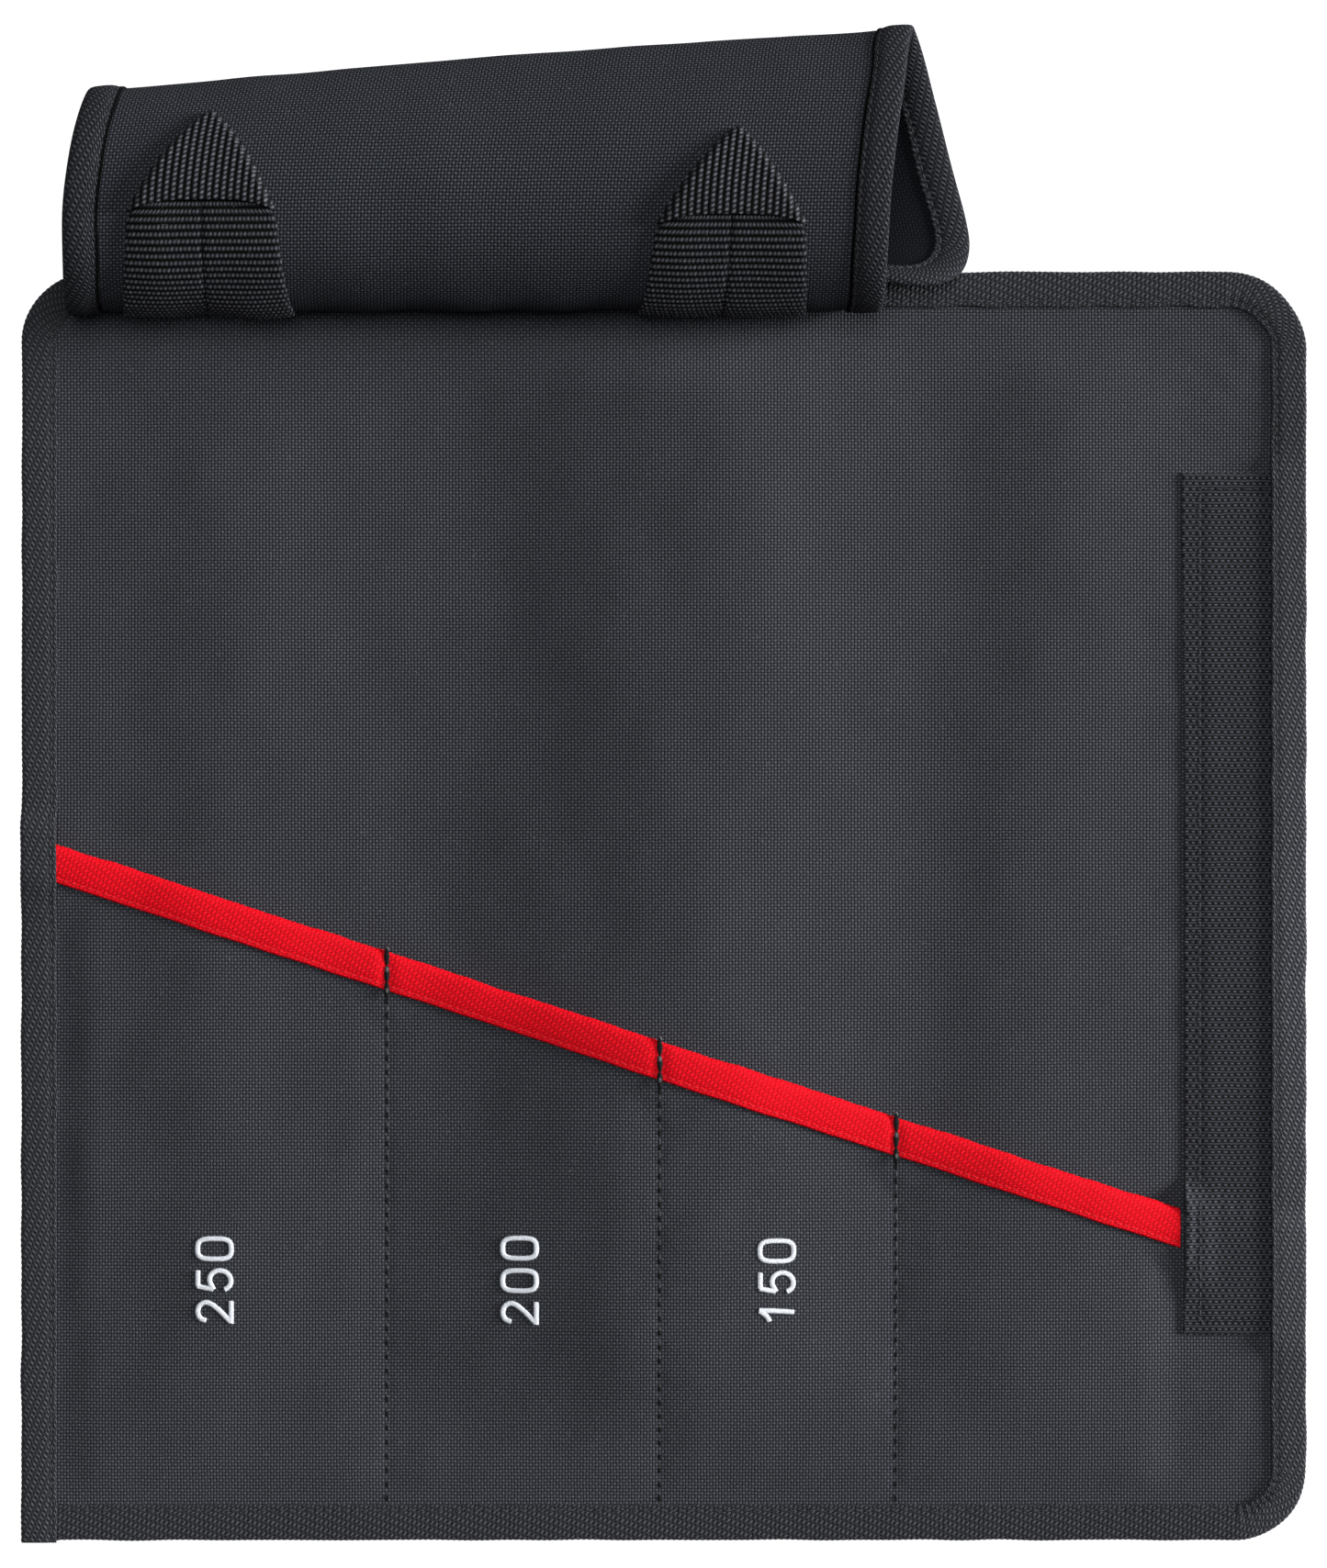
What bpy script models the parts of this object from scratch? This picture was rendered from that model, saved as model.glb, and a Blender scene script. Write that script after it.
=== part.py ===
"""Tool roll lying flat, front up: bound panel, slanted pocket sheet, closure strip and a turned-over flap."""

import math

import bpy
from mathutils import Vector

MM = 0.001

PANEL_WIDTH = 400 * MM
PANEL_HEIGHT = 395 * MM
HALF_WIDTH = PANEL_WIDTH / 2
# The whole object's depth is centred on the origin. The panel's lower edge lies this far in front of it.
ORIGIN_FROM_PANEL_BOTTOM = 234.9 * MM

CORNER_TOP_LEFT = 22 * MM
CORNER_TOP_RIGHT = 25 * MM
CORNER_BOTTOM_RIGHT = 22 * MM

SHEET_THICK = 1.6 * MM
POCKET_THICK = 1.0 * MM
STRIP_THICK = 1.2 * MM
WEBBING_THICK = 1.4 * MM
TAPE_THICK = 1.0 * MM
TAPE_WIDTH = 11 * MM
GAP = 0.3 * MM

# The left end of the binding runs this far past the panel's lower edge.
TAPE_END_OVERRUN = 0.6 * MM

# Slow waves across the panel: each crest's place and its reach to each side as shares of the width.
WAVE_ROWS = (
    {"centre": -0.36, "left": 0.10, "right": 0.13, "rise": 2.0 * MM},
    {"centre": -0.005, "left": 0.112, "right": 0.155, "rise": 6.6 * MM},
    {"centre": 0.075, "left": 0.075, "right": 0.112, "rise": 1.8 * MM},
    {"centre": 0.29, "left": 0.07, "right": 0.10, "rise": 3.2 * MM},
)
WAVE_FADE = 55 * MM

# The slanted mouth of the pockets: its height at the panel's left and right edges.
MOUTH_LEFT = 220.4 * MM
MOUTH_RIGHT = 90.6 * MM
MOUTH_TAPE_WIDTH = 11.6 * MM
POCKET_SLACK = 1.6 * MM
SEAM_SHARES = (-0.4305, -0.0065, 0.3605)
SEAM_SPREAD = 13 * MM

STRIP_WIDTH = 37.9 * MM
STRIP_LENGTH = 268.2 * MM
STRIP_BOTTOM = 64.1 * MM
STRIP_TOP = STRIP_BOTTOM + STRIP_LENGTH
STRIP_RIGHT = HALF_WIDTH - TAPE_THICK - GAP
STRIP_LEFT = STRIP_RIGHT - STRIP_WIDTH

FLAP_WIDTH = 252 * MM
FLAP_RIGHT = 67.0 * MM
FLAP_LENGTH = 213.5 * MM
FLAP_CORNER = 25 * MM
ROLL_TOP = 44 * MM
ROLL_FRONT = -12.7 * MM
ROLL_DEPTH_RIGHT = 86 * MM
ROLL_DEPTH_LEFT = 66.5 * MM
# The far side bows out this much midway along the roll.
ROLL_BOW = 1.0 * MM

# The flap's section at its right edge, from the hem: shares of the roll's depth and of its height.
RIGHT_ROWS = (
    {"away": 0.078, "up": 0.150},
    {"away": 0.048, "up": 0.152},
    {"away": 0.014, "up": 0.215},
    {"away": 0.000, "up": 0.380},
    {"away": 0.032, "up": 0.590},
    {"away": 0.122, "up": 0.800},
    {"away": 0.262, "up": 0.948},
    {"away": 0.420, "up": 1.000},
    {"away": 0.590, "up": 0.960},
    {"away": 0.755, "up": 0.825},
    {"away": 0.905, "up": 0.620},
    {"away": 0.980, "up": 0.490},
    {"away": 1.000, "up": 0.405},
    {"away": 0.965, "up": 0.320},
    {"away": 0.870, "up": 0.190},
    {"away": 0.740, "up": 0.090},
    {"away": 0.600, "up": 0.058},
    {"away": 0.420, "up": 0.056},
    {"away": 0.300, "up": 0.058},
    {"away": 0.234, "up": 0.064},
    {"away": 0.190, "up": 0.094},
    {"away": 0.155, "up": 0.155},
    {"away": 0.124, "up": 0.222},
    {"away": 0.097, "up": 0.288},
    {"away": 0.066, "up": 0.366},
    {"away": 0.034, "up": 0.440},
)
# The same at its left edge, where the far end stands up inside the roll.
LEFT_ROWS = (
    {"away": 0.100, "up": 0.150},
    {"away": 0.065, "up": 0.152},
    {"away": 0.018, "up": 0.215},
    {"away": 0.000, "up": 0.380},
    {"away": 0.040, "up": 0.610},
    {"away": 0.160, "up": 0.840},
    {"away": 0.330, "up": 0.970},
    {"away": 0.500, "up": 1.000},
    {"away": 0.680, "up": 0.945},
    {"away": 0.850, "up": 0.790},
    {"away": 0.965, "up": 0.590},
    {"away": 1.000, "up": 0.420},
    {"away": 0.960, "up": 0.240},
    {"away": 0.850, "up": 0.105},
    {"away": 0.700, "up": 0.060},
    {"away": 0.520, "up": 0.056},
    {"away": 0.400, "up": 0.058},
    {"away": 0.310, "up": 0.064},
    {"away": 0.240, "up": 0.105},
    {"away": 0.195, "up": 0.200},
    {"away": 0.168, "up": 0.310},
    {"away": 0.160, "up": 0.450},
    {"away": 0.176, "up": 0.590},
    {"away": 0.225, "up": 0.715},
    {"away": 0.305, "up": 0.800},
    {"away": 0.400, "up": 0.838},
    {"away": 0.500, "up": 0.835},
)
# How far the flap's right edge has moved sideways, against the share of the flap's length.
SIDEWAYS_ROWS = (
    {"along": 0.00, "right": 0.0 * MM},
    {"along": 0.152, "right": 1.1 * MM},
    {"along": 0.276, "right": 1.9 * MM},
    {"along": 0.361, "right": 4.0 * MM},
    {"along": 0.466, "right": 7.0 * MM},
    {"along": 0.552, "right": 8.8 * MM},
    {"along": 0.618, "right": 13.4 * MM},
    {"along": 0.680, "right": 16.8 * MM},
    {"along": 0.876, "right": 27.8 * MM},
    {"along": 1.000, "right": 31.0 * MM},
)

# Each loop of 25 mm webbing, across the flap from its left edge and along it from its hem: the outer
# edges of its two legs at their feet and under the tip, the tip, and where the tip's base lies.
LOOP_LEFT = {
    "foot": (17.5 * MM, 70.5 * MM),
    "under_tip": (20.0 * MM, 64.5 * MM),
    "tip_across": 41.0 * MM,
    "base": 59.0 * MM,
    "tip": 88.0 * MM,
}
LOOP_RIGHT = {
    "foot": (FLAP_WIDTH - 75.5 * MM, FLAP_WIDTH - 23.5 * MM),
    "under_tip": (FLAP_WIDTH - 70.5 * MM, FLAP_WIDTH - 25.5 * MM),
    "tip_across": FLAP_WIDTH - 49.0 * MM,
    "base": 54.5 * MM,
    "tip": 80.5 * MM,
}
LOOP_SLIT = 0.8 * MM
LOOP_FOOT = 13 * MM

CLOTH_BLACK = (0.035, 0.037, 0.043, 1.0)
TAPE_BLACK = (0.045, 0.047, 0.052, 1.0)
TAPE_RED = (0.72, 0.008, 0.015, 1.0)
STRIP_BLACK = (0.028, 0.030, 0.036, 1.0)
WEBBING_BLACK = (0.018, 0.020, 0.024, 1.0)


def ease(value):
    """0 below 0, 1 above 1 and a smooth step between."""
    value = min(1.0, max(0.0, value))
    return value * value * (3 - 2 * value)


def clear_scene():
    for obj in list(bpy.context.scene.objects):
        bpy.data.objects.remove(obj, do_unlink=True)


def coloured(name, colour):
    material = bpy.data.materials.new(name)
    material.diffuse_color = colour
    material.use_nodes = True
    shader = material.node_tree.nodes["Principled BSDF"]
    shader.inputs["Base Color"].default_value = colour
    shader.inputs["Roughness"].default_value = 0.9
    return material


def add_object(name, points, faces, colour):
    """One mesh object, its points moved from the panel's lower edge to the origin."""
    moved = [(p[0], p[1] - ORIGIN_FROM_PANEL_BOTTOM, p[2]) for p in points]
    mesh = bpy.data.meshes.new(name)
    mesh.from_pydata(moved, [], faces)
    mesh.update()
    mesh.materials.append(coloured(name, colour))
    obj = bpy.data.objects.new(name, mesh)
    bpy.context.scene.collection.objects.link(obj)
    return obj


def slab(name, tops, bottoms, cells, colour):
    """A sheet solid: a cell of corners seen from above, its underside and walls along the open edges."""
    count = len(tops)
    faces = [tuple(cell) for cell in cells]
    faces += [tuple(count + i for i in reversed(cell)) for cell in cells]
    directed = set()
    for cell in cells:
        for k, first in enumerate(cell):
            directed.add((first, cell[(k + 1) % len(cell)]))
    for first, second in sorted(directed):
        if (second, first) not in directed:
            faces.append((second, first, count + first, count + second))
    return add_object(name, list(tops) + list(bottoms), faces, colour)


def grid_cells(rows, columns):
    """Cells of a grid whose columns run left to right and whose rows run away from the viewer."""
    cells = []
    for row in range(rows - 1):
        for column in range(columns - 1):
            first = row * columns + column
            cells.append((first, first + 1, first + columns + 1, first + columns))
    return cells


def swept(name, rings, colour):
    """A bar through rings of equal count, its inward side on the left, closed with a cap at each end."""
    count = len(rings[0])
    points = [point for ring in rings for point in ring]
    faces = []
    for k in range(len(rings) - 1):
        for i in range(count):
            j = (i + 1) % count
            faces.append((k * count + i, k * count + j, (k + 1) * count + j, (k + 1) * count + i))
    last = (len(rings) - 1) * count
    faces.append(tuple(reversed(range(count))))
    faces.append(tuple(last + i for i in range(count)))
    return add_object(name, points, faces, colour)


def spread(first, last, step):
    """Even values from first to last, at most step apart, both ends in."""
    count = max(1, math.ceil(abs(last - first) / step))
    return [first + (last - first) * k / count for k in range(count + 1)]


def merged(values, least):
    """Sorted values with any closer than least to the one before left out."""
    kept = []
    for value in sorted(values):
        if not kept or value - kept[-1] >= least:
            kept.append(value)
    return kept


def side_limits(y, inset):
    """The panel's left and right outline at a height, drawn in by inset."""
    left = -HALF_WIDTH + inset
    right = HALF_WIDTH - inset
    top = PANEL_HEIGHT - inset
    for corner, centre, is_right in (
        (CORNER_TOP_LEFT, PANEL_HEIGHT - CORNER_TOP_LEFT, False),
        (CORNER_TOP_RIGHT, PANEL_HEIGHT - CORNER_TOP_RIGHT, True),
    ):
        if y > centre:
            radius = corner - inset
            rise = min(radius, y - centre)
            pull = radius - math.sqrt(max(0.0, radius * radius - rise * rise))
            if is_right:
                right -= pull
            else:
                left += pull
    if y < CORNER_BOTTOM_RIGHT:
        radius = CORNER_BOTTOM_RIGHT - inset
        drop = min(radius, CORNER_BOTTOM_RIGHT - y)
        right -= radius - math.sqrt(max(0.0, radius * radius - drop * drop))
    return left, right, top


def wave(x, y):
    """Height of the panel's slow waves, nothing under the bindings."""
    inner_x = HALF_WIDTH - TAPE_WIDTH - abs(x)
    inner_y = min(y, PANEL_HEIGHT - y) - TAPE_WIDTH
    fade = ease((inner_x - 2 * MM) / WAVE_FADE) * ease((inner_y - 2 * MM) / WAVE_FADE)
    drift = 0.012 * math.sin(math.pi * y / PANEL_HEIGHT * 1.6 + 3.54)
    height = 0.0
    for row in WAVE_ROWS:
        away = x / PANEL_WIDTH - row["centre"] - drift
        away /= row["left"] if away < 0 else row["right"]
        height += row["rise"] * math.exp(-away * away)
    return fade * height


def mouth(x):
    """Height of the slanted pocket mouth at this place across the panel."""
    share = (x + HALF_WIDTH) / PANEL_WIDTH
    return MOUTH_LEFT + (MOUTH_RIGHT - MOUTH_LEFT) * share


MOUTH_DROP = (MOUTH_LEFT - MOUTH_RIGHT) / PANEL_WIDTH
MOUTH_COS = 1 / math.sqrt(1 + MOUTH_DROP * MOUTH_DROP)
SEAMS = tuple(share * HALF_WIDTH for share in SEAM_SHARES)
PANEL_BOTTOM = TAPE_THICK + GAP


def panel_top(x, y):
    return PANEL_BOTTOM + SHEET_THICK + wave(x, y)


def slack(x, y):
    """How far the pocket sheet stands off the panel: least at the seams and edges, most at the bound mouth."""
    free = 1.0
    for seam in SEAMS:
        free *= ease(abs(x - seam) / SEAM_SPREAD)
    free *= ease((x + HALF_WIDTH - TAPE_WIDTH) / SEAM_SPREAD)
    free *= ease((STRIP_LEFT - x) / SEAM_SPREAD)
    free *= ease((y - TAPE_WIDTH) / SEAM_SPREAD)
    below = (mouth(x) - y) * MOUTH_COS
    band = ease((MOUTH_TAPE_WIDTH + 13 * MM - below) / (11 * MM))
    band *= ease((STRIP_LEFT + 8 * MM - x) / (7 * MM))
    return GAP + (POCKET_SLACK - GAP) * max(free, band)


def pocket_bottom(x, y):
    return panel_top(x, y) + slack(x, y)


def stack_top(x, y, with_strip):
    """Top of whatever lies under a binding here, the binding left out."""
    top = panel_top(x, y)
    below = mouth(x) - y
    if below > -0.5 * MM:
        top = pocket_bottom(x, y) + POCKET_THICK
        if below * MOUTH_COS < MOUTH_TAPE_WIDTH + 0.5 * MM and x < STRIP_LEFT:
            top += GAP + TAPE_THICK
    if with_strip and x > STRIP_LEFT - 0.5 * MM and STRIP_BOTTOM - 0.5 * MM < y < STRIP_TOP + 0.5 * MM:
        top = strip_bottom(x, y) + STRIP_THICK
    return top


def over(x, y, radius, with_strip):
    """The height that clears everything within a radius, by the usual gap."""
    highest = stack_top(x, y, with_strip)
    for reach in (0.5, 1.0):
        for k in range(8):
            angle = math.pi * k / 4
            dx = reach * radius * math.cos(angle)
            dy = reach * radius * math.sin(angle)
            highest = max(highest, stack_top(x + dx, y + dy, with_strip))
    return highest + GAP


def strip_bottom(x, y):
    return over(x, y, 4 * MM, False)


def panel_rows(extra):
    inset = TAPE_THICK + GAP
    # The waves fade near the edges, so the rows are closer there.
    faded = TAPE_WIDTH + WAVE_FADE + 14 * MM
    rows = spread(CORNER_BOTTOM_RIGHT + 4 * MM, faded, 11 * MM)
    rows += spread(faded, PANEL_HEIGHT - faded, 29 * MM)
    rows += spread(PANEL_HEIGHT - faded, PANEL_HEIGHT - CORNER_TOP_RIGHT - 4 * MM, 11 * MM)
    for k in range(5):
        angle = math.pi / 2 * k / 4
        rows.append(CORNER_BOTTOM_RIGHT - (CORNER_BOTTOM_RIGHT - inset) * math.sin(angle))
        rows.append(PANEL_HEIGHT - CORNER_TOP_RIGHT + (CORNER_TOP_RIGHT - inset) * math.sin(angle))
    return merged(rows + list(extra), 0.4 * MM)


def back_panel():
    inset = TAPE_THICK + GAP
    rows = panel_rows(())
    sides = [0.0, 0.0275, 0.055, 0.085, 0.115, 0.15, 0.19]
    shares = sides + spread(0.235, 0.765, 0.046) + [1 - share for share in reversed(sides)]
    tops = []
    bottoms = []
    for y in rows:
        left, right, _ = side_limits(y, inset)
        for share in shares:
            x = left + (right - left) * share
            tops.append((x, y, panel_top(x, y)))
            bottoms.append((x, y, panel_top(x, y) - SHEET_THICK))
    slab("back_panel", tops, bottoms, grid_cells(len(rows), len(shares)), CLOTH_BLACK)


def pocket_sheet():
    inset = TAPE_THICK + GAP
    columns = []
    for seam in SEAMS:
        columns += [seam - SEAM_SPREAD, seam - 6 * MM, seam, seam + 6 * MM, seam + SEAM_SPREAD]
    edges = [-HALF_WIDTH + inset, -HALF_WIDTH + TAPE_WIDTH, STRIP_LEFT - 1 * MM]
    edges += [STRIP_LEFT + 3 * MM, STRIP_LEFT + 8 * MM, HALF_WIDTH - TAPE_WIDTH - 6 * MM]
    angles = [math.pi / 2 * k / 4 for k in range(5)]
    corner = CORNER_BOTTOM_RIGHT
    edges += [HALF_WIDTH - corner + (corner - inset) * math.sin(angle) for angle in angles]
    columns = merged(columns + edges, 0.4 * MM)
    filled = []
    for first, second in zip(columns, columns[1:]):
        filled += spread(first, second, 17 * MM)[:-1]
    columns = filled + [columns[-1]]
    depths = [0, 6, 12, 15.5, 19, 24.6]
    rises = [0, 10, 13.5, 17.5, 23.5]
    tops = []
    bottoms = []
    rows = len(depths) + len(rises) + 5
    for column in columns:
        start = inset
        if column > HALF_WIDTH - corner:
            reach = column - (HALF_WIDTH - corner)
            radius = corner - inset
            start = corner - math.sqrt(max(0.0, radius * radius - reach * reach))
        end = mouth(column) - inset / MOUTH_COS
        deep = [end - depth * MM / MOUTH_COS for depth in depths]
        low = [start + rise * MM for rise in rises]
        middle = [low[-1] + (deep[-1] - low[-1]) * share / 6 for share in range(1, 6)]
        for y in low + middle + deep[::-1]:
            bottoms.append((column, y, pocket_bottom(column, y)))
            tops.append((column, y, pocket_bottom(column, y) + POCKET_THICK))
    cells = []
    for column in range(len(columns) - 1):
        for row in range(rows - 1):
            first = column * rows + row
            cells.append((first, first + rows, first + rows + 1, first + 1))
    slab("pocket_sheet", tops, bottoms, cells, CLOTH_BLACK)


def closure_strip():
    # The strip steps up onto the pocket sheet where it crosses the slanted mouth.
    step_low = mouth(STRIP_RIGHT) - 7 * MM
    step_high = mouth(STRIP_LEFT) + 11 * MM
    rows = spread(STRIP_BOTTOM, step_low, 9 * MM) + spread(step_low, step_high, 3 * MM)
    rows += spread(step_high, STRIP_TOP, 18 * MM)
    rows = merged(rows, 1 * MM)
    columns = spread(STRIP_LEFT, STRIP_RIGHT, STRIP_WIDTH / 4)
    tops = []
    bottoms = []
    for y in rows:
        for x in columns:
            low = strip_bottom(x, y)
            bottoms.append((x, y, low))
            tops.append((x, y, low + STRIP_THICK))
    slab("closure_strip", tops, bottoms, grid_cells(len(rows), len(columns)), STRIP_BLACK)


def edge_path():
    """Stations round the panel from the bottom left corner, anticlockwise: place and inward direction."""
    path = []
    start = -HALF_WIDTH + TAPE_WIDTH + GAP
    for x in spread(start, HALF_WIDTH - CORNER_BOTTOM_RIGHT, 30 * MM):
        path.append((x, 0.0, 0.0, 1.0))

    def corner(centre_x, centre_y, radius, first):
        for k in range(1, 8):
            angle = first + math.pi / 2 * k / 8
            cos, sin = math.cos(angle), math.sin(angle)
            path.append((centre_x + radius * cos, centre_y + radius * sin, -cos, -sin))

    corner(HALF_WIDTH - CORNER_BOTTOM_RIGHT, CORNER_BOTTOM_RIGHT, CORNER_BOTTOM_RIGHT, -math.pi / 2)
    top = PANEL_HEIGHT - CORNER_TOP_RIGHT
    # Stations stand closer where the binding climbs over the strip's ends and the pocket mouth.
    low = STRIP_BOTTOM - 12 * MM
    high = mouth(STRIP_LEFT) + 9 * MM
    climbs = spread(CORNER_BOTTOM_RIGHT, low, 15 * MM) + spread(low, high, 4 * MM)
    climbs += spread(high, STRIP_TOP - 10 * MM, 30 * MM)
    climbs += spread(STRIP_TOP - 10 * MM, STRIP_TOP + 10 * MM, 4 * MM)
    for y in merged(climbs + spread(STRIP_TOP + 10 * MM, top, 15 * MM), 1 * MM):
        path.append((HALF_WIDTH, y, -1.0, 0.0))
    corner(HALF_WIDTH - CORNER_TOP_RIGHT, top, CORNER_TOP_RIGHT, 0.0)
    for x in spread(HALF_WIDTH - CORNER_TOP_RIGHT, -HALF_WIDTH + CORNER_TOP_LEFT, 36 * MM):
        path.append((x, PANEL_HEIGHT, 0.0, -1.0))
    side = PANEL_HEIGHT - CORNER_TOP_LEFT
    corner(-HALF_WIDTH + CORNER_TOP_LEFT, side, CORNER_TOP_LEFT, math.pi / 2)
    high = MOUTH_LEFT + 12 * MM
    low = MOUTH_LEFT - 30 * MM
    falls = spread(side, high, 30 * MM) + spread(high, low, 3.5 * MM)
    falls += spread(low, -TAPE_END_OVERRUN, 32 * MM)
    for y in sorted(merged(falls, 1 * MM), reverse=True):
        path.append((-HALF_WIDTH, y, 1.0, 0.0))
    return path


def edge_binding():
    rings = []
    wall = TAPE_THICK
    for x, y, inward_x, inward_y in edge_path():
        lip = 0.0
        for share in (0.14, 0.36, 0.68, 1.0):
            place_x = x + inward_x * share * TAPE_WIDTH
            place_y = y + inward_y * share * TAPE_WIDTH
            lip = max(lip, over(place_x, place_y, 2.5 * MM, True))
        high = lip + wall
        section = (
            (TAPE_WIDTH, lip),
            (TAPE_WIDTH, high - 0.2 * MM),
            (TAPE_WIDTH - 0.3 * MM, high),
            (1.2 * MM, high),
            (0.35 * MM, high - 0.35 * MM),
            (0.0, high - 1.2 * MM),
            (0.0, 1.2 * MM),
            (0.35 * MM, 0.35 * MM),
            (1.2 * MM, 0.0),
            (TAPE_WIDTH, 0.0),
            (TAPE_WIDTH, wall),
            (wall, wall),
            (wall, lip),
        )
        rings.append([(x + inward_x * d, y + inward_y * d, z) for d, z in section])
    swept("edge_binding", rings, TAPE_BLACK)


def pocket_binding():
    """The folded tape over the slanted mouth."""
    rings = []
    first = -HALF_WIDTH + TAPE_THICK + GAP
    last = STRIP_LEFT - GAP
    stops = [seam + shift * MM for seam in SEAMS for shift in (-9, 0, 9)]
    for x in merged(stops + spread(first, last, 15 * MM), 5 * MM) + [last]:
        if 0 < last - x < 1 * MM:
            continue
        y = mouth(x)
        inner_x = -MOUTH_DROP * MOUTH_COS
        inner_y = -MOUTH_COS
        # The two cut ends are vertical, so each lip's points keep the station's place across.
        ring = []
        front = POCKET_SLACK + POCKET_THICK + GAP
        back = GAP
        width = MOUTH_TAPE_WIDTH
        wall = TAPE_THICK
        section = (
            (width, front),
            (width, front + wall),
            (width * 0.5, front + wall),
            (1.1 * MM, front + wall),
            (0.0, front + wall - 1.0 * MM),
            (0.0, back + 1.0 * MM),
            (1.1 * MM, back),
            (width * 0.5, back),
            (width, back),
            (width, back + wall),
            (wall, back + wall),
            (wall, front),
        )
        for depth, height in section:
            place_y = y - depth / MOUTH_COS
            ring.append((x, place_y, panel_top(x, place_y) + height))
        rings.append(ring)
    swept("pocket_binding", rings[::-1], TAPE_RED)


def smooth_curve(points, pieces):
    """A smooth curve through points, as many short pieces."""
    padded = [2 * points[0] - points[1]] + points + [2 * points[-1] - points[-2]]
    curve = []
    for k in range(1, len(padded) - 2):
        before, first, second, after = padded[k - 1 : k + 3]
        for step in range(pieces):
            t = step / pieces
            value = 2 * first + (second - before) * t
            value += (2 * before - 5 * first + 4 * second - after) * t * t
            value += (3 * first - before - 3 * second + after) * t * t * t
            curve.append(value / 2)
    curve.append(points[-1])
    return curve


def measured(curve):
    """Running length at each point of a curve."""
    lengths = [0.0]
    for first, second in zip(curve, curve[1:]):
        lengths.append(lengths[-1] + (second - first).length)
    return lengths


def at_length(curve, lengths, wanted):
    low, high = 0, len(lengths) - 1
    while high - low > 1:
        middle = (low + high) // 2
        if lengths[middle] > wanted:
            high = middle
        else:
            low = middle
    share = (wanted - lengths[low]) / max(1e-9, lengths[high] - lengths[low])
    return curve[low].lerp(curve[high], min(1.0, max(0.0, share)))


def section_curve(rows, depth):
    points = []
    for row in rows:
        away = PANEL_HEIGHT + ROLL_FRONT + row["away"] * depth
        points.append(Vector((0.0, away, row["up"] * ROLL_TOP)))
    curve = smooth_curve(points, 12)
    return curve, measured(curve)


RIGHT_CURVE, RIGHT_LENGTHS = section_curve(RIGHT_ROWS, ROLL_DEPTH_RIGHT)
LEFT_CURVE, LEFT_LENGTHS = section_curve(LEFT_ROWS, ROLL_DEPTH_LEFT)
SIDEWAYS = [(row["along"], row["right"]) for row in SIDEWAYS_ROWS]


def sideways(share):
    share = min(1.0, max(0.0, share))
    for (first, low), (second, high) in zip(SIDEWAYS, SIDEWAYS[1:]):
        if share <= second:
            return low + (high - low) * (share - first) / (second - first)
    return SIDEWAYS[-1][1]


def right_edge(along):
    smoothed = sum(sideways(along / FLAP_LENGTH + shift) for shift in (-0.03, -0.015, 0, 0.015, 0.03)) / 5
    point = at_length(RIGHT_CURVE, RIGHT_LENGTHS, along)
    return Vector((FLAP_RIGHT + smoothed, point.y, point.z))


def left_edge(along):
    """Straight across from the right edge, so that the flap keeps its width."""
    point = at_length(LEFT_CURVE, LEFT_LENGTHS, along)
    right = right_edge(along)
    skew = (right.y - point.y) ** 2 + (right.z - point.z) ** 2
    return Vector((right.x - math.sqrt(FLAP_WIDTH**2 - skew), point.y, point.z))


def fold_length(curve, lengths):
    """Running length at the roll's far fold."""
    farthest = max(range(len(curve)), key=lambda k: curve[k].y)
    return lengths[farthest]


RIGHT_FOLD = fold_length(RIGHT_CURVE, RIGHT_LENGTHS)
LEFT_FOLD = fold_length(LEFT_CURVE, LEFT_LENGTHS)


def flap_middle(across, along):
    """A point of the flap's middle layer, from its left edge and from its hem."""
    share = across / FLAP_WIDTH
    fold = LEFT_FOLD + (RIGHT_FOLD - LEFT_FOLD) * share
    if along <= fold:
        part = along / fold
        left = at_length(LEFT_CURVE, LEFT_LENGTHS, part * LEFT_FOLD)
        right = at_length(RIGHT_CURVE, RIGHT_LENGTHS, part * RIGHT_FOLD)
    else:
        part = (along - fold) / (FLAP_LENGTH - fold)
        left = at_length(LEFT_CURVE, LEFT_LENGTHS, LEFT_FOLD + part * (FLAP_LENGTH - LEFT_FOLD))
        right = at_length(RIGHT_CURVE, RIGHT_LENGTHS, RIGHT_FOLD + part * (FLAP_LENGTH - RIGHT_FOLD))
    place = left.lerp(right, share)
    start = PANEL_HEIGHT + ROLL_FRONT
    place.y += ROLL_BOW * 4 * share * (1 - share) * max(0.0, place.y - start) / ROLL_DEPTH_LEFT
    sides = left_edge(along).lerp(right_edge(along), share)
    return Vector((sides.x, place.y, place.z))


def flap_point(across, along, out):
    """A point beside the flap's middle layer, out towards the roll's outside."""
    step = 0.4 * MM
    low = max(0.0, along - step)
    high = min(FLAP_LENGTH, along + step)
    tangent = flap_middle(across, high) - flap_middle(across, low)
    width = flap_middle(across + step, along) - flap_middle(across - step, along)
    normal = width.cross(tangent).normalized()
    return flap_middle(across, along) + normal * out


def flap_stations():
    rows = spread(0, 6 * MM, 3 * MM) + spread(6 * MM, 22 * MM, 3.2 * MM)
    rows += spread(22 * MM, 100 * MM, 8.7 * MM) + spread(100 * MM, 136 * MM, 2.4 * MM)
    rows += spread(136 * MM, 164 * MM, 7 * MM) + spread(164 * MM, FLAP_LENGTH, 3.4 * MM)
    return merged(rows, 0.5 * MM)


def corner_pull(along, inset):
    """How far the rounded corners of the free end draw the sides in."""
    radius = FLAP_CORNER - inset
    rise = along - (FLAP_LENGTH - FLAP_CORNER)
    if rise <= 0:
        return 0.0
    rise = min(rise, radius)
    return radius - math.sqrt(max(0.0, radius * radius - rise * rise))


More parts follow.
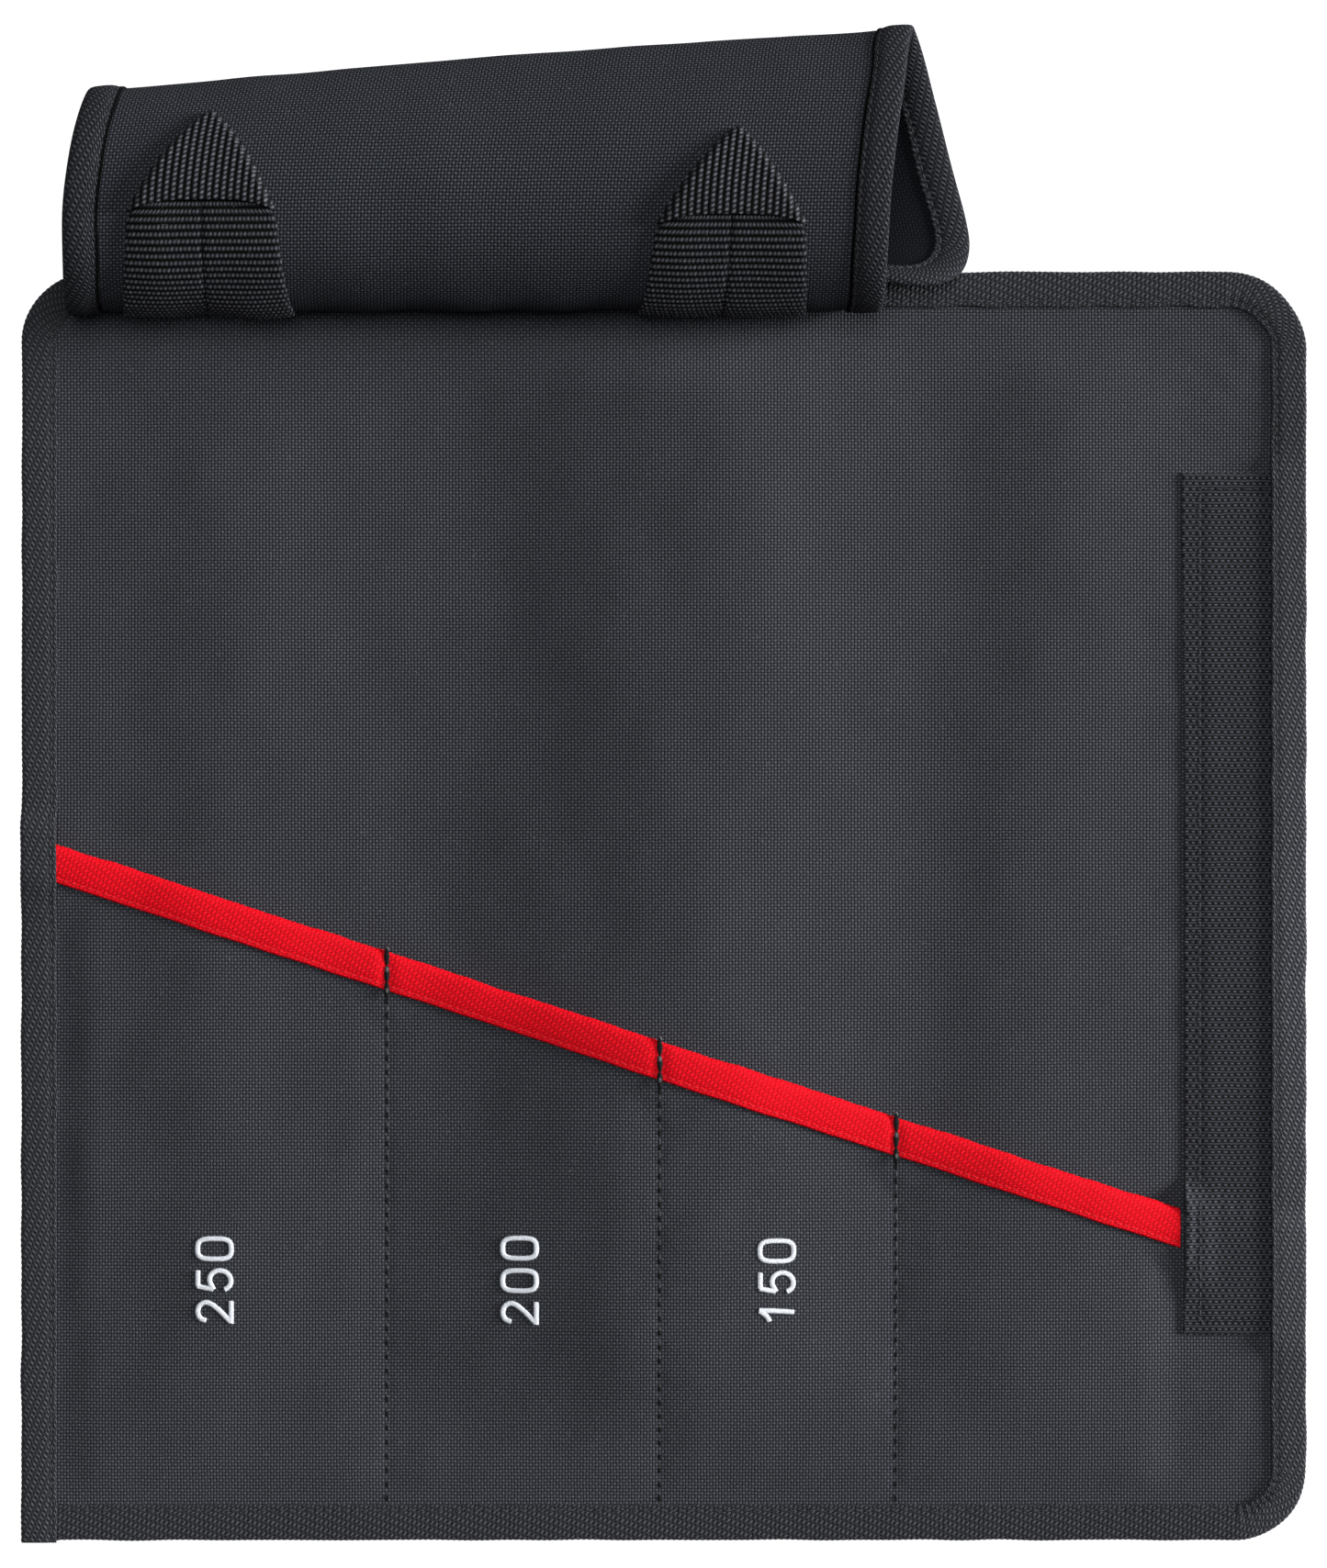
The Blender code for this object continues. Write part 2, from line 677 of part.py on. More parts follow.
def flap():
    inset = TAPE_THICK + 2.5 * GAP
    rows = [row for row in flap_stations() if row < FLAP_LENGTH - FLAP_CORNER]
    for k in range(10):
        angle = math.pi / 2 * k / 9
        rows.append(FLAP_LENGTH - FLAP_CORNER + (FLAP_CORNER - inset) * math.sin(angle))
    rows = merged(rows, 0.2 * MM)
    shares = [0.0, 0.045, 0.2, 0.4, 0.6, 0.8, 0.955, 1.0]
    tops = []
    bottoms = []
    for along in rows:
        pull = corner_pull(along, inset)
        for share in shares:
            across = inset + pull + (FLAP_WIDTH - 2 * inset - 2 * pull) * share
            tops.append(flap_point(across, along, SHEET_THICK / 2))
            bottoms.append(flap_point(across, along, -SHEET_THICK / 2))
    slab("flap", tops, bottoms, grid_cells(len(rows), len(shares)), CLOTH_BLACK)


def flap_path():
    """Stations round the flap in its own flat plane: left side, free end and right side."""
    sides = [row for row in flap_stations() if row < FLAP_LENGTH - FLAP_CORNER - 1 * MM]
    sides.append(FLAP_LENGTH - FLAP_CORNER)
    # The left fold is rounder than the right one, so every other station serves there.
    dense = [row for row in sides if 99 * MM < row < 137 * MM]
    rounder = [row for row in sides if row not in dense[1::2]]
    arcs = [math.pi / 2 * k / 9 for k in range(1, 9)]
    path = []
    for along in rounder:
        path.append((0.0, along, 1.0, 0.0))
    end = FLAP_LENGTH - FLAP_CORNER
    for angle in arcs:
        cos, sin = math.cos(angle), math.sin(angle)
        path.append((FLAP_CORNER * (1 - cos), end + FLAP_CORNER * sin, cos, -sin))
    for across in spread(FLAP_CORNER, FLAP_WIDTH - FLAP_CORNER, 23 * MM):
        path.append((across, FLAP_LENGTH, 0.0, -1.0))
    for angle in reversed(arcs):
        cos, sin = math.cos(angle), math.sin(angle)
        path.append((FLAP_WIDTH - FLAP_CORNER * (1 - cos), end + FLAP_CORNER * sin, -cos, -sin))
    for along in reversed(sides):
        path.append((FLAP_WIDTH, along, -1.0, 0.0))
    return path


def flap_binding():
    # A little more room than elsewhere, as both layers follow the bend in flat facets.
    lip = SHEET_THICK / 2 + 1.7 * GAP
    high = lip + TAPE_THICK
    wall = TAPE_THICK
    # The path has its inward side on the right, so the section runs from the underside up.
    section = (
        (TAPE_WIDTH, -lip),
        (TAPE_WIDTH, -high),
        (5.8 * MM, -high),
        (1.0 * MM, -high),
        (0.0, -high + 0.9 * MM),
        (0.0, high - 0.9 * MM),
        (1.0 * MM, high),
        (5.8 * MM, high),
        (TAPE_WIDTH, high),
        (TAPE_WIDTH, lip),
        (5.8 * MM, lip),
        (wall, lip),
        (wall, -lip),
        (5.8 * MM, -lip),
    )
    rings = []
    for across, along, inward_across, inward_along in flap_path():
        ring = []
        for depth, out in section:
            place = (across + inward_across * depth, along + inward_along * depth)
            ring.append(flap_point(place[0], place[1], out))
        rings.append(ring)
    swept("flap_binding", rings, TAPE_BLACK)


def hang_loop(name, place):
    """Webbing laid up, across and down again: two legs under a pointed tip, as one solid."""
    base = place["base"]
    tip = place["tip"]
    low = SHEET_THICK / 2 + GAP
    leg = low + WEBBING_THICK
    peak = leg + WEBBING_THICK
    rows = spread(LOOP_FOOT, 24 * MM, 2.7 * MM) + spread(24 * MM, base - 0.3 * MM, 6 * MM)[1:]
    ramp = len(rows)
    rows += [base] + spread(base, tip, (tip - base) / 5)[1:]
    tops = []
    bottoms = []
    for index, along in enumerate(rows):
        share = min(1.0, max(0.0, (along - LOOP_FOOT) / (base - LOOP_FOOT)))
        left, right = (a + (b - a) * share for a, b in zip(place["foot"], place["under_tip"]))
        if along > base:
            narrow = max(0.04, (tip - along) / (tip - base))
            left = place["tip_across"] + (left - place["tip_across"]) * narrow
            right = place["tip_across"] + (right - place["tip_across"]) * narrow
        middle = (left + right) / 2
        slit = LOOP_SLIT / 2 * min(1.0, (right - left) / (20 * MM))
        columns = [left, (left + middle) / 2, middle - slit, middle + slit, (right + middle) / 2, right]
        for across in columns:
            tops.append(flap_point(across, along, leg if index < ramp else peak))
            bottoms.append(flap_point(across, along, low))
    cells = []
    for row in range(len(rows) - 1):
        for column in range(5):
            if column == 2 and row < ramp - 1:
                continue
            first = row * 6 + column
            cells.append((first, first + 1, first + 7, first + 6))
    slab(name, tops, bottoms, cells, WEBBING_BLACK)


clear_scene()
back_panel()
pocket_sheet()
pocket_binding()
closure_strip()
edge_binding()
flap()
flap_binding()
hang_loop("hang_loop_left", LOOP_LEFT)
hang_loop("hang_loop_right", LOOP_RIGHT)
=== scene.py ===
"""The tool roll of the photograph, dressed: woven panel and pockets, twill tapes, red mouth tape,
closure strip, turned-over flap, two webbing hang loops, all the stitching and the sewn sizes."""

import math

import bpy
import numpy as np
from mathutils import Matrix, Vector


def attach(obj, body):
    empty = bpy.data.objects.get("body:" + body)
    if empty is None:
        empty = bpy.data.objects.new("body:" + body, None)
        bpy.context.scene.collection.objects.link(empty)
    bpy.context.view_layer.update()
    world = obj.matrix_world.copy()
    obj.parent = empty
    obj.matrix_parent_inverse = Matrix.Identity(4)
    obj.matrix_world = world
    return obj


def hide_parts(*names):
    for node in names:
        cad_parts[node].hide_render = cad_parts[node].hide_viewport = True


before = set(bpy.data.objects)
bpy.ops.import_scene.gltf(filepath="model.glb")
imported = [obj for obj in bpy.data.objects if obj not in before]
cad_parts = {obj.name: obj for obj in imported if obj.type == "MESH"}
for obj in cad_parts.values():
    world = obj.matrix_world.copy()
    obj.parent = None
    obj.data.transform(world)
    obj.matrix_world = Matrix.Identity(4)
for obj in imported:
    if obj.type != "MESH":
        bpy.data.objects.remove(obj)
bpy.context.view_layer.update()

MM = 0.001

# The roll's own sizes, the same as in its CAD source.
PANEL_WIDTH = 400 * MM
PANEL_HEIGHT = 395 * MM
HALF_WIDTH = PANEL_WIDTH / 2
ORIGIN_FROM_PANEL_BOTTOM = 234.9 * MM
CORNER_TOP_LEFT = 22 * MM
CORNER_TOP_RIGHT = 25 * MM
CORNER_BOTTOM_RIGHT = 22 * MM
SHEET_THICK = 1.6 * MM
POCKET_THICK = 1.0 * MM
STRIP_THICK = 1.2 * MM
TAPE_THICK = 1.0 * MM
TAPE_WIDTH = 11 * MM
GAP = 0.3 * MM
TAPE_END_OVERRUN = 0.6 * MM
WAVE_ROWS = (
    {"centre": -0.36, "left": 0.10, "right": 0.13, "rise": 2.0 * MM},
    {"centre": -0.005, "left": 0.112, "right": 0.155, "rise": 6.6 * MM},
    {"centre": 0.075, "left": 0.075, "right": 0.112, "rise": 1.8 * MM},
    {"centre": 0.29, "left": 0.07, "right": 0.10, "rise": 3.2 * MM},
)
WAVE_FADE = 55 * MM
MOUTH_LEFT = 220.4 * MM
MOUTH_RIGHT = 90.6 * MM
MOUTH_TAPE_WIDTH = 11.6 * MM
POCKET_SLACK = 1.6 * MM
SEAM_SHARES = (-0.4305, -0.0065, 0.3605)
SEAM_SPREAD = 13 * MM
STRIP_WIDTH = 37.9 * MM
STRIP_LENGTH = 268.2 * MM
STRIP_BOTTOM = 64.1 * MM
STRIP_TOP = STRIP_BOTTOM + STRIP_LENGTH
STRIP_RIGHT = HALF_WIDTH - TAPE_THICK - GAP
STRIP_LEFT = STRIP_RIGHT - STRIP_WIDTH
FLAP_WIDTH = 252 * MM
FLAP_RIGHT = 67.0 * MM
FLAP_LENGTH = 213.5 * MM
FLAP_CORNER = 25 * MM
ROLL_TOP = 44 * MM
ROLL_FRONT = -12.7 * MM
ROLL_DEPTH_RIGHT = 86 * MM
ROLL_DEPTH_LEFT = 66.5 * MM
ROLL_BOW = 1.0 * MM

# The flap's section at each side, from the hem: shares of the roll's depth and of its height.
RIGHT_ROWS = (
    (0.078, 0.150), (0.048, 0.152), (0.014, 0.215), (0.000, 0.380), (0.032, 0.590),
    (0.122, 0.800), (0.262, 0.948), (0.420, 1.000), (0.590, 0.960), (0.755, 0.825),
    (0.905, 0.620), (0.980, 0.490), (1.000, 0.405), (0.965, 0.320), (0.870, 0.190),
    (0.740, 0.090), (0.600, 0.058), (0.420, 0.056), (0.300, 0.058), (0.234, 0.064), (0.190, 0.094),
    (0.155, 0.155), (0.124, 0.222), (0.097, 0.288), (0.066, 0.366), (0.034, 0.440),
)
LEFT_ROWS = (
    (0.100, 0.150), (0.065, 0.152), (0.018, 0.215), (0.000, 0.380), (0.040, 0.610),
    (0.160, 0.840), (0.330, 0.970), (0.500, 1.000), (0.680, 0.945), (0.850, 0.790),
    (0.965, 0.590), (1.000, 0.420), (0.960, 0.240), (0.850, 0.105), (0.700, 0.060),
    (0.520, 0.056), (0.400, 0.058), (0.310, 0.064), (0.240, 0.105), (0.195, 0.200), (0.168, 0.310),
    (0.160, 0.450), (0.176, 0.590), (0.225, 0.715), (0.305, 0.800), (0.400, 0.838), (0.500, 0.835),
)
# How far the flap's right edge has moved sideways, against the share of the flap's length.
SIDEWAYS_ALONG = (0.0, 0.152, 0.276, 0.361, 0.466, 0.552, 0.618, 0.68, 0.876, 1.0)
SIDEWAYS_RIGHT = tuple(right * MM for right in (0.0, 1.1, 1.9, 4.0, 7.0, 8.8, 13.4, 16.8, 27.8, 31.0))

LOOP_LEFT = {
    "foot": (17.5 * MM, 70.5 * MM),
    "under_tip": (20.0 * MM, 64.5 * MM),
    "tip_across": 41.0 * MM,
    "base": 59.0 * MM,
    "tip": 88.0 * MM,
}
LOOP_RIGHT = {
    "foot": (FLAP_WIDTH - 75.5 * MM, FLAP_WIDTH - 23.5 * MM),
    "under_tip": (FLAP_WIDTH - 70.5 * MM, FLAP_WIDTH - 25.5 * MM),
    "tip_across": FLAP_WIDTH - 49.0 * MM,
    "base": 54.5 * MM,
    "tip": 80.5 * MM,
}
LOOP_SLIT = 0.8 * MM
LOOP_FOOT = 13 * MM

MOUTH_DROP = (MOUTH_LEFT - MOUTH_RIGHT) / PANEL_WIDTH
MOUTH_COS = 1 / math.sqrt(1 + MOUTH_DROP * MOUTH_DROP)
SEAMS = tuple(share * HALF_WIDTH for share in SEAM_SHARES)

# Real cloth and tape are thinner than the CAD's walls.
CLOTH = 0.9 * MM
TAPE = 0.75 * MM
TAPE_REST = 0.14 * MM
# Each cloth ends this far inside the fold of its tape.
INSET = TAPE_THICK + GAP
# How far the right binding presses each sheet down, and a little play under the other tapes.
PANEL_PRESS = 0.3 * MM
POCKET_PRESS = 0.9 * MM
STRIP_PRESS = 2.0 * MM
CLOTH_PLAY = 0.05 * MM
# Stitch rows: the tapes' depth from the fold, and how far inside the closure strip's edges its row runs.
TAPE_STITCH_DEPTH = 9.3 * MM
STRIP_SEWN_LEFT = 6.0 * MM
STRIP_SEWN_BOTTOM = 4.3 * MM
STRIP_SEWN_TOP = 5.1 * MM
STRIP_SEWN_RIGHT = 9 * MM
# Distances from stitch to stitch, in millimetres.
SEAM_STITCH = 4.4
EDGE_STITCH = 2.9
# The webbing's width, its ribs and the floats along a rib.
WEBBING_WIDTH = 25 * MM
WEB_ROW = 2.17 * MM
WEB_DOT = 1.43 * MM
# Where the right binding is painted paler, a painted highlight from the light on the right: middle, reach
# along it, and gain.
HIGHLIGHT_AT = -52 * MM
HIGHLIGHT_REACH = 95 * MM
HIGHLIGHT_GAIN = 0.55

CAMERA_HEIGHT = 1.8
VIEW_WIDTH = 1445 * 0.286 * MM
FLOOR_REACH = 3.0
FLOOR_GLOW = 0.95
FLOOR_BOUNCE = 0.15
WORLD_LIGHT = 0.07
# Name, place, softness and power.
LIGHTS = (
    ("right_light", (1.60, 0.20, 0.345), 0.32, 7.0),
    ("top_light", (0.05, 0.40, 1.75), 0.60, 1.72),
)

UP = (0.0, 0.0, 1.0)
DOWN = (0.0, 0.0, -1.0)



# How the roll lies.

def ease(value):
    """0 below 0, 1 above 1 and a smooth step between."""
    value = np.clip(value, 0.0, 1.0)
    return value * value * (3 - 2 * value)


def uneven(x, y, size, seed):
    """Slow random hills, about -1 to 1, with hills about this size."""
    draw = np.random.default_rng(seed)
    total = 0.0
    for _ in range(7):
        angle = draw.uniform(0, math.pi)
        length = size * draw.uniform(0.7, 1.6)
        phase = draw.uniform(0, 2 * math.pi)
        total = total + np.cos(2 * math.pi * (x * math.cos(angle) + y * math.sin(angle)) / length + phase)
    return total / 3.2


def uneven_line(line, size, seed):
    """The same hills along one line."""
    return uneven(line, line * 0, size, seed)


def hump(value, centre, reach):
    """1 at a centre, falling off smoothly to both sides."""
    return np.exp(-(((value - centre) / reach) ** 2))


def joined(*parts):
    """Points or directions from arrays of their parts."""
    return np.stack(parts, axis=-1)


def corner_pull(radius, rise):
    """How far a rounded corner draws an edge in, this far past the corner's start."""
    rise = np.clip(rise, 0.0, radius)
    return radius - np.sqrt(np.maximum(0.0, radius * radius - rise * rise))


def wave(x, y):
    """Height of the panel's slow waves, nothing under the bindings."""
    inner_x = HALF_WIDTH - TAPE_WIDTH - np.abs(x)
    inner_y = np.minimum(y, PANEL_HEIGHT - y) - TAPE_WIDTH
    fade = ease((inner_x - 2 * MM) / WAVE_FADE) * ease((inner_y - 2 * MM) / WAVE_FADE)
    drift = 0.012 * np.sin(math.pi * y / PANEL_HEIGHT * 1.6 + 3.54)
    height = 0.0
    for row in WAVE_ROWS:
        away = x / PANEL_WIDTH - row["centre"] - drift
        away = away / np.where(away < 0, row["left"], row["right"])
        height = height + row["rise"] * np.exp(-away * away)
    return fade * height


def mouth(x):
    """Height of the slanted pocket mouth at this place across the panel."""
    return MOUTH_LEFT + (MOUTH_RIGHT - MOUTH_LEFT) * (x + HALF_WIDTH) / PANEL_WIDTH


def panel_top(x, y):
    return TAPE_THICK + GAP + SHEET_THICK + wave(x, y)


def off_seams(x):
    """0 on the seams that divide the pockets, 1 away from them."""
    free = 1.0
    for seam in SEAMS:
        free = free * ease(np.abs(x - seam) / SEAM_SPREAD)
    return free


def slack(x, y):
    """How far the pocket sheet stands off the panel."""
    free = off_seams(x) * ease((x + HALF_WIDTH - TAPE_WIDTH) / SEAM_SPREAD)
    free = free * ease((STRIP_LEFT - x) / SEAM_SPREAD)
    free = free * ease((y - TAPE_WIDTH) / SEAM_SPREAD)
    below = (mouth(x) - y) * MOUTH_COS
    band = ease((MOUTH_TAPE_WIDTH + 13 * MM - below) / (11 * MM))
    band = band * ease((STRIP_LEFT + 8 * MM - x) / (7 * MM))
    return GAP + (POCKET_SLACK - GAP) * np.maximum(free, band)


def pocket_bottom(x, y):
    return panel_top(x, y) + slack(x, y)


def stack_top(x, y, with_strip):
    """Top of whatever lies under a binding here, the binding left out."""
    below = mouth(x) - y
    pocket = pocket_bottom(x, y) + POCKET_THICK
    in_tape = (below * MOUTH_COS < MOUTH_TAPE_WIDTH + 0.5 * MM) & (x < STRIP_LEFT)
    pocket = pocket + np.where(in_tape, GAP + TAPE_THICK, 0.0)
    top = np.where(below > -0.5 * MM, pocket, panel_top(x, y))
    if with_strip:
        inside = (x > STRIP_LEFT - 0.5 * MM) & (y > STRIP_BOTTOM - 0.5 * MM) & (y < STRIP_TOP + 0.5 * MM)
        top = np.where(inside, strip_bottom(x, y) + STRIP_THICK, top)
    return top


def over(x, y, radius, with_strip):
    """The height that clears everything within a radius, by the usual gap."""
    highest = stack_top(x, y, with_strip)
    for reach in (0.5, 1.0):
        for k in range(8):
            dx = reach * radius * math.cos(math.pi * k / 4)
            dy = reach * radius * math.sin(math.pi * k / 4)
            highest = np.maximum(highest, stack_top(x + dx, y + dy, with_strip))
    return highest + GAP


def strip_bottom(x, y):
    return over(x, y, 4 * MM, False)


def edge_press(x):
    """0 on open cloth, 1 at the panel's right edge, where the binding presses the stack down."""
    return np.clip((x - HALF_WIDTH + TAPE_WIDTH + 1 * MM) / (TAPE_WIDTH + 1 * MM), 0.0, 1.0)


def clear_of_trim(x, y, reach):
    """1 on open cloth, falling to 0 at the bindings, the closure strip and the mouth tape."""
    left, right, top = side_limits(y, 0.0)
    near = np.minimum(x - left, right - x)
    near = np.minimum(near, np.minimum(y, top - y)) - TAPE_WIDTH
    beside = np.maximum(STRIP_LEFT - x, np.maximum(STRIP_BOTTOM - y, y - STRIP_TOP))
    near = np.minimum(near, beside)
    below = (mouth(x) - y) * MOUTH_COS
    from_tape = np.maximum(below - MOUTH_TAPE_WIDTH, -below)
    return ease((near - 1 * MM) / reach) * ease((from_tape - 1 * MM) / reach)


def panel_detail(x, y):
    """Small hills in the panel's cloth, and the pull marks beside the closure strip's stitching."""
    free = clear_of_trim(x, y, 9 * MM)
    height = 0.32 * MM * uneven(x, y, 52 * MM, 3) + 0.12 * MM * uneven(x, y, 19 * MM, 4)
    beside = np.maximum(0.0, STRIP_LEFT - x)
    pulls = np.sin(2 * math.pi * (0.75 * x + y) / (10.5 * MM) + 1.6 * uneven(x, y, 60 * MM, 5))
    height = height + 0.26 * MM * pulls * np.exp(-beside / (11 * MM))
    # The cloth's waves run on up to the roll.
    faded = ease((PANEL_HEIGHT - y - TAPE_WIDTH - 2 * MM) / WAVE_FADE)
    running_on = ease((PANEL_HEIGHT - 15 * MM - y) / (24 * MM))
    last_row = PANEL_HEIGHT - WAVE_FADE - TAPE_WIDTH - 2 * MM
    height = height + np.maximum(0.0, running_on - faded) * wave(x, last_row + 0 * y)
    return free * height


def seam_dip(x, y):
    """How far the seams alone draw the pocket sheet down."""
    inner = ease((STRIP_LEFT - x) / SEAM_SPREAD) * ease((y - TAPE_WIDTH) / SEAM_SPREAD)
    return (POCKET_SLACK - GAP) * (1 - off_seams(x)) * inner


def pocket_detail(x, y):
    """Hills in the pocket cloth and puckers along the seams that divide it."""
    free = clear_of_trim(x, y, 8 * MM)
    height = 0.65 * seam_dip(x, y)
    height = height + 0.30 * MM * uneven(x, y, 48 * MM, 13) + 0.10 * MM * uneven(x, y, 17 * MM, 14)
    for number, seam in enumerate(SEAMS):
        away = np.abs(x - seam)
        side = np.where(x > seam, 1.0, 2.3) + number
        pucker = np.sin(2 * math.pi * y / (9.5 * MM) + 2.2 * uneven(y, side, 40 * MM, 21 + number))
        height = height + 0.22 * MM * pucker * np.exp(-away / (6 * MM)) * ease((away - 0.8 * MM) / (2 * MM))
        height = height - 0.30 * MM * hump(x, seam, 1.5 * MM)
    return free * height


def side_limits(y, inset):
    """The panel's left, right and top outline at a height, drawn in by inset."""
    left = -HALF_WIDTH + inset + 0.0 * y
    right = HALF_WIDTH - inset + 0.0 * y
    top = PANEL_HEIGHT - inset + 0.0 * y
    left = left + corner_pull(CORNER_TOP_LEFT - inset, y - (PANEL_HEIGHT - CORNER_TOP_LEFT))
    right = right - corner_pull(CORNER_TOP_RIGHT - inset, y - (PANEL_HEIGHT - CORNER_TOP_RIGHT))
    right = right - corner_pull(CORNER_BOTTOM_RIGHT - inset, CORNER_BOTTOM_RIGHT - y)
    return left, right, top


# The rolled flap.

def smooth_curve(points, pieces):
    """A smooth curve through points, as many short pieces."""
    points = np.array(points)
    row = np.vstack([2 * points[0] - points[1], points, 2 * points[-1] - points[-2]])
    t = (np.arange(pieces) / pieces)[:, None]
    curve = []
    for k in range(1, len(row) - 2):
        before, first, second, after = row[k - 1 : k + 3]
        value = 2 * first + (second - before) * t
        value = value + (2 * before - 5 * first + 4 * second - after) * t**2
        value = value + (3 * first - before - 3 * second + after) * t**3
        curve.append(value / 2)
    return np.vstack(curve + [points[-1:]])


def running_length(points):
    """The length along a line of points, at each of them."""
    steps = np.linalg.norm(np.diff(points, axis=0), axis=1)
    return np.concatenate([[0.0], np.cumsum(steps)])


def section_curve(rows, depth):
    """The section's away and up values in metres, with the running length at each."""
    rows = np.array(rows)
    points = np.stack([PANEL_HEIGHT + ROLL_FRONT + rows[:, 0] * depth, rows[:, 1] * ROLL_TOP], axis=1)
    curve = smooth_curve(points, 40)
    return curve[:, 0], curve[:, 1], running_length(curve)


RIGHT_SECTION = section_curve(RIGHT_ROWS, ROLL_DEPTH_RIGHT)
LEFT_SECTION = section_curve(LEFT_ROWS, ROLL_DEPTH_LEFT)
RIGHT_FOLD = RIGHT_SECTION[2][np.argmax(RIGHT_SECTION[0])]
LEFT_FOLD = LEFT_SECTION[2][np.argmax(LEFT_SECTION[0])]


def at_length(section, wanted):
    away, up, lengths = section
    return np.interp(wanted, lengths, away), np.interp(wanted, lengths, up)


def flap_middle(across, along):
    """Points of the flap's middle layer, from its left edge and from its hem."""
    share = across / FLAP_WIDTH
    fold = LEFT_FOLD + (RIGHT_FOLD - LEFT_FOLD) * share
    before = along / fold
    after = (along - fold) / (FLAP_LENGTH - fold)
    on_left = np.where(along <= fold, before * LEFT_FOLD, LEFT_FOLD + after * (FLAP_LENGTH - LEFT_FOLD))
    on_right = np.where(along <= fold, before * RIGHT_FOLD, RIGHT_FOLD + after * (FLAP_LENGTH - RIGHT_FOLD))
    left_y, left_z = at_length(LEFT_SECTION, on_left)
    right_y, right_z = at_length(RIGHT_SECTION, on_right)
    y = left_y + (right_y - left_y) * share
    z = left_z + (right_z - left_z) * share
    start = PANEL_HEIGHT + ROLL_FRONT
    y = y + ROLL_BOW * 4 * share * (1 - share) * np.maximum(0.0, y - start) / ROLL_DEPTH_LEFT
    right_x = 0.0
    for shift in (-0.03, -0.015, 0.0, 0.015, 0.03):
        right_x = right_x + np.interp(along / FLAP_LENGTH + shift, SIDEWAYS_ALONG, SIDEWAYS_RIGHT) / 5
    right_x = FLAP_RIGHT + right_x
    straight_left = at_length(LEFT_SECTION, along)
    straight_right = at_length(RIGHT_SECTION, along)
    skew = (straight_right[0] - straight_left[0]) ** 2 + (straight_right[1] - straight_left[1]) ** 2
    left_x = right_x - np.sqrt(FLAP_WIDTH**2 - skew)
    return joined(left_x + (right_x - left_x) * share, y, z)


def flap_frame(across, along):
    """The flap's middle layer and its outward direction at each place."""
    step = 0.5 * MM
    tangent = flap_middle(across, np.minimum(FLAP_LENGTH, along + step))
    tangent = tangent - flap_middle(across, np.maximum(0.0, along - step))
    width = flap_middle(across + step, along) - flap_middle(across - step, along)
    normal = np.cross(width, tangent)
    normal = normal / np.linalg.norm(normal, axis=-1, keepdims=True)
    return flap_middle(across, along), normal


def flap_wrinkles(across, along):
    """Soft creases at the flap's hem and between its left tape and the left hang loop."""
    near_hem = hump(along, 14 * MM, 13 * MM)
    slanted = np.sin(2 * math.pi * (across * 0.8 - along) / (7.5 * MM) + 0.8)
    left = slanted * hump(across, 14 * MM, 7 * MM) * hump(along, 24 * MM, 14 * MM)
    long_waves = uneven(across, along * 0.25, 34 * MM, 31)
    small = uneven(across, along, 30 * MM, 32)
    return 0.32 * MM * left + 0.5 * MM * near_hem * long_waves + 0.16 * MM * small


def flap_points(across, along, out):
    """Places beside the flap's middle layer, out towards the roll's outside."""
    place, normal = flap_frame(across, along)
    return place + normal * (out + flap_wrinkles(across, along))[..., None]


# Mesh making.

def linked(name, data):
    """An object in the scene with this mesh, light or camera."""
    obj = bpy.data.objects.new(name, data)
    bpy.context.scene.collection.objects.link(obj)
    return obj


def new_piece(name, points, faces, corner_uvs, material):
    """One smooth piece. Points are in the panel's own place, from its lower edge."""
    points = np.array(points, dtype=float).reshape(-1, 3)
    points[:, 1] -= ORIGIN_FROM_PANEL_BOTTOM
    mesh = bpy.data.meshes.new(name)
    mesh.from_pydata(points.tolist(), [], faces)
    mesh.update()
    layer = mesh.uv_layers.new(name="Weave")
    layer.data.foreach_set("uv", np.array(corner_uvs, dtype=np.float32).ravel())
    mesh.polygons.foreach_set("use_smooth", np.ones(len(mesh.polygons), dtype=bool))
    mesh.materials.append(material)
    mesh.update()
    return linked(name, mesh)


def sheet_piece(name, tops, bottoms, uvs, material, back=None):
    """A closed sheet over a grid whose columns run right and whose rows run away from the viewer.

    back is the finish of its underside, where that differs.
    """
    rows, columns = tops.shape[:2]
    count = rows * columns
    index = np.arange(count).reshape(rows, columns)
    cells = joined(index[:-1, :-1], index[:-1, 1:], index[1:, 1:], index[1:, :-1]).reshape(-1, 4)
    rim = np.concatenate([index[0, :-1], index[:-1, -1], index[-1, :0:-1], index[:0:-1, 0]])
    after = np.roll(rim, -1)
    walls = joined(after, rim, rim + count, after + count)
    faces = np.concatenate([cells, cells[:, ::-1] + count, walls])
    points = np.concatenate([tops.reshape(-1, 3), bottoms.reshape(-1, 3)])
    both = np.concatenate([uvs.reshape(-1, 2), uvs.reshape(-1, 2)])
    piece = new_piece(name, points, faces.tolist(), both[faces.ravel()], material)
    if back is not None:
        piece.data.materials.append(back)
        layers = np.repeat((0, 1, 0), (len(cells), len(cells), len(walls)))
        piece.data.polygons.foreach_set("material_index", layers.astype(np.int32))
    return piece


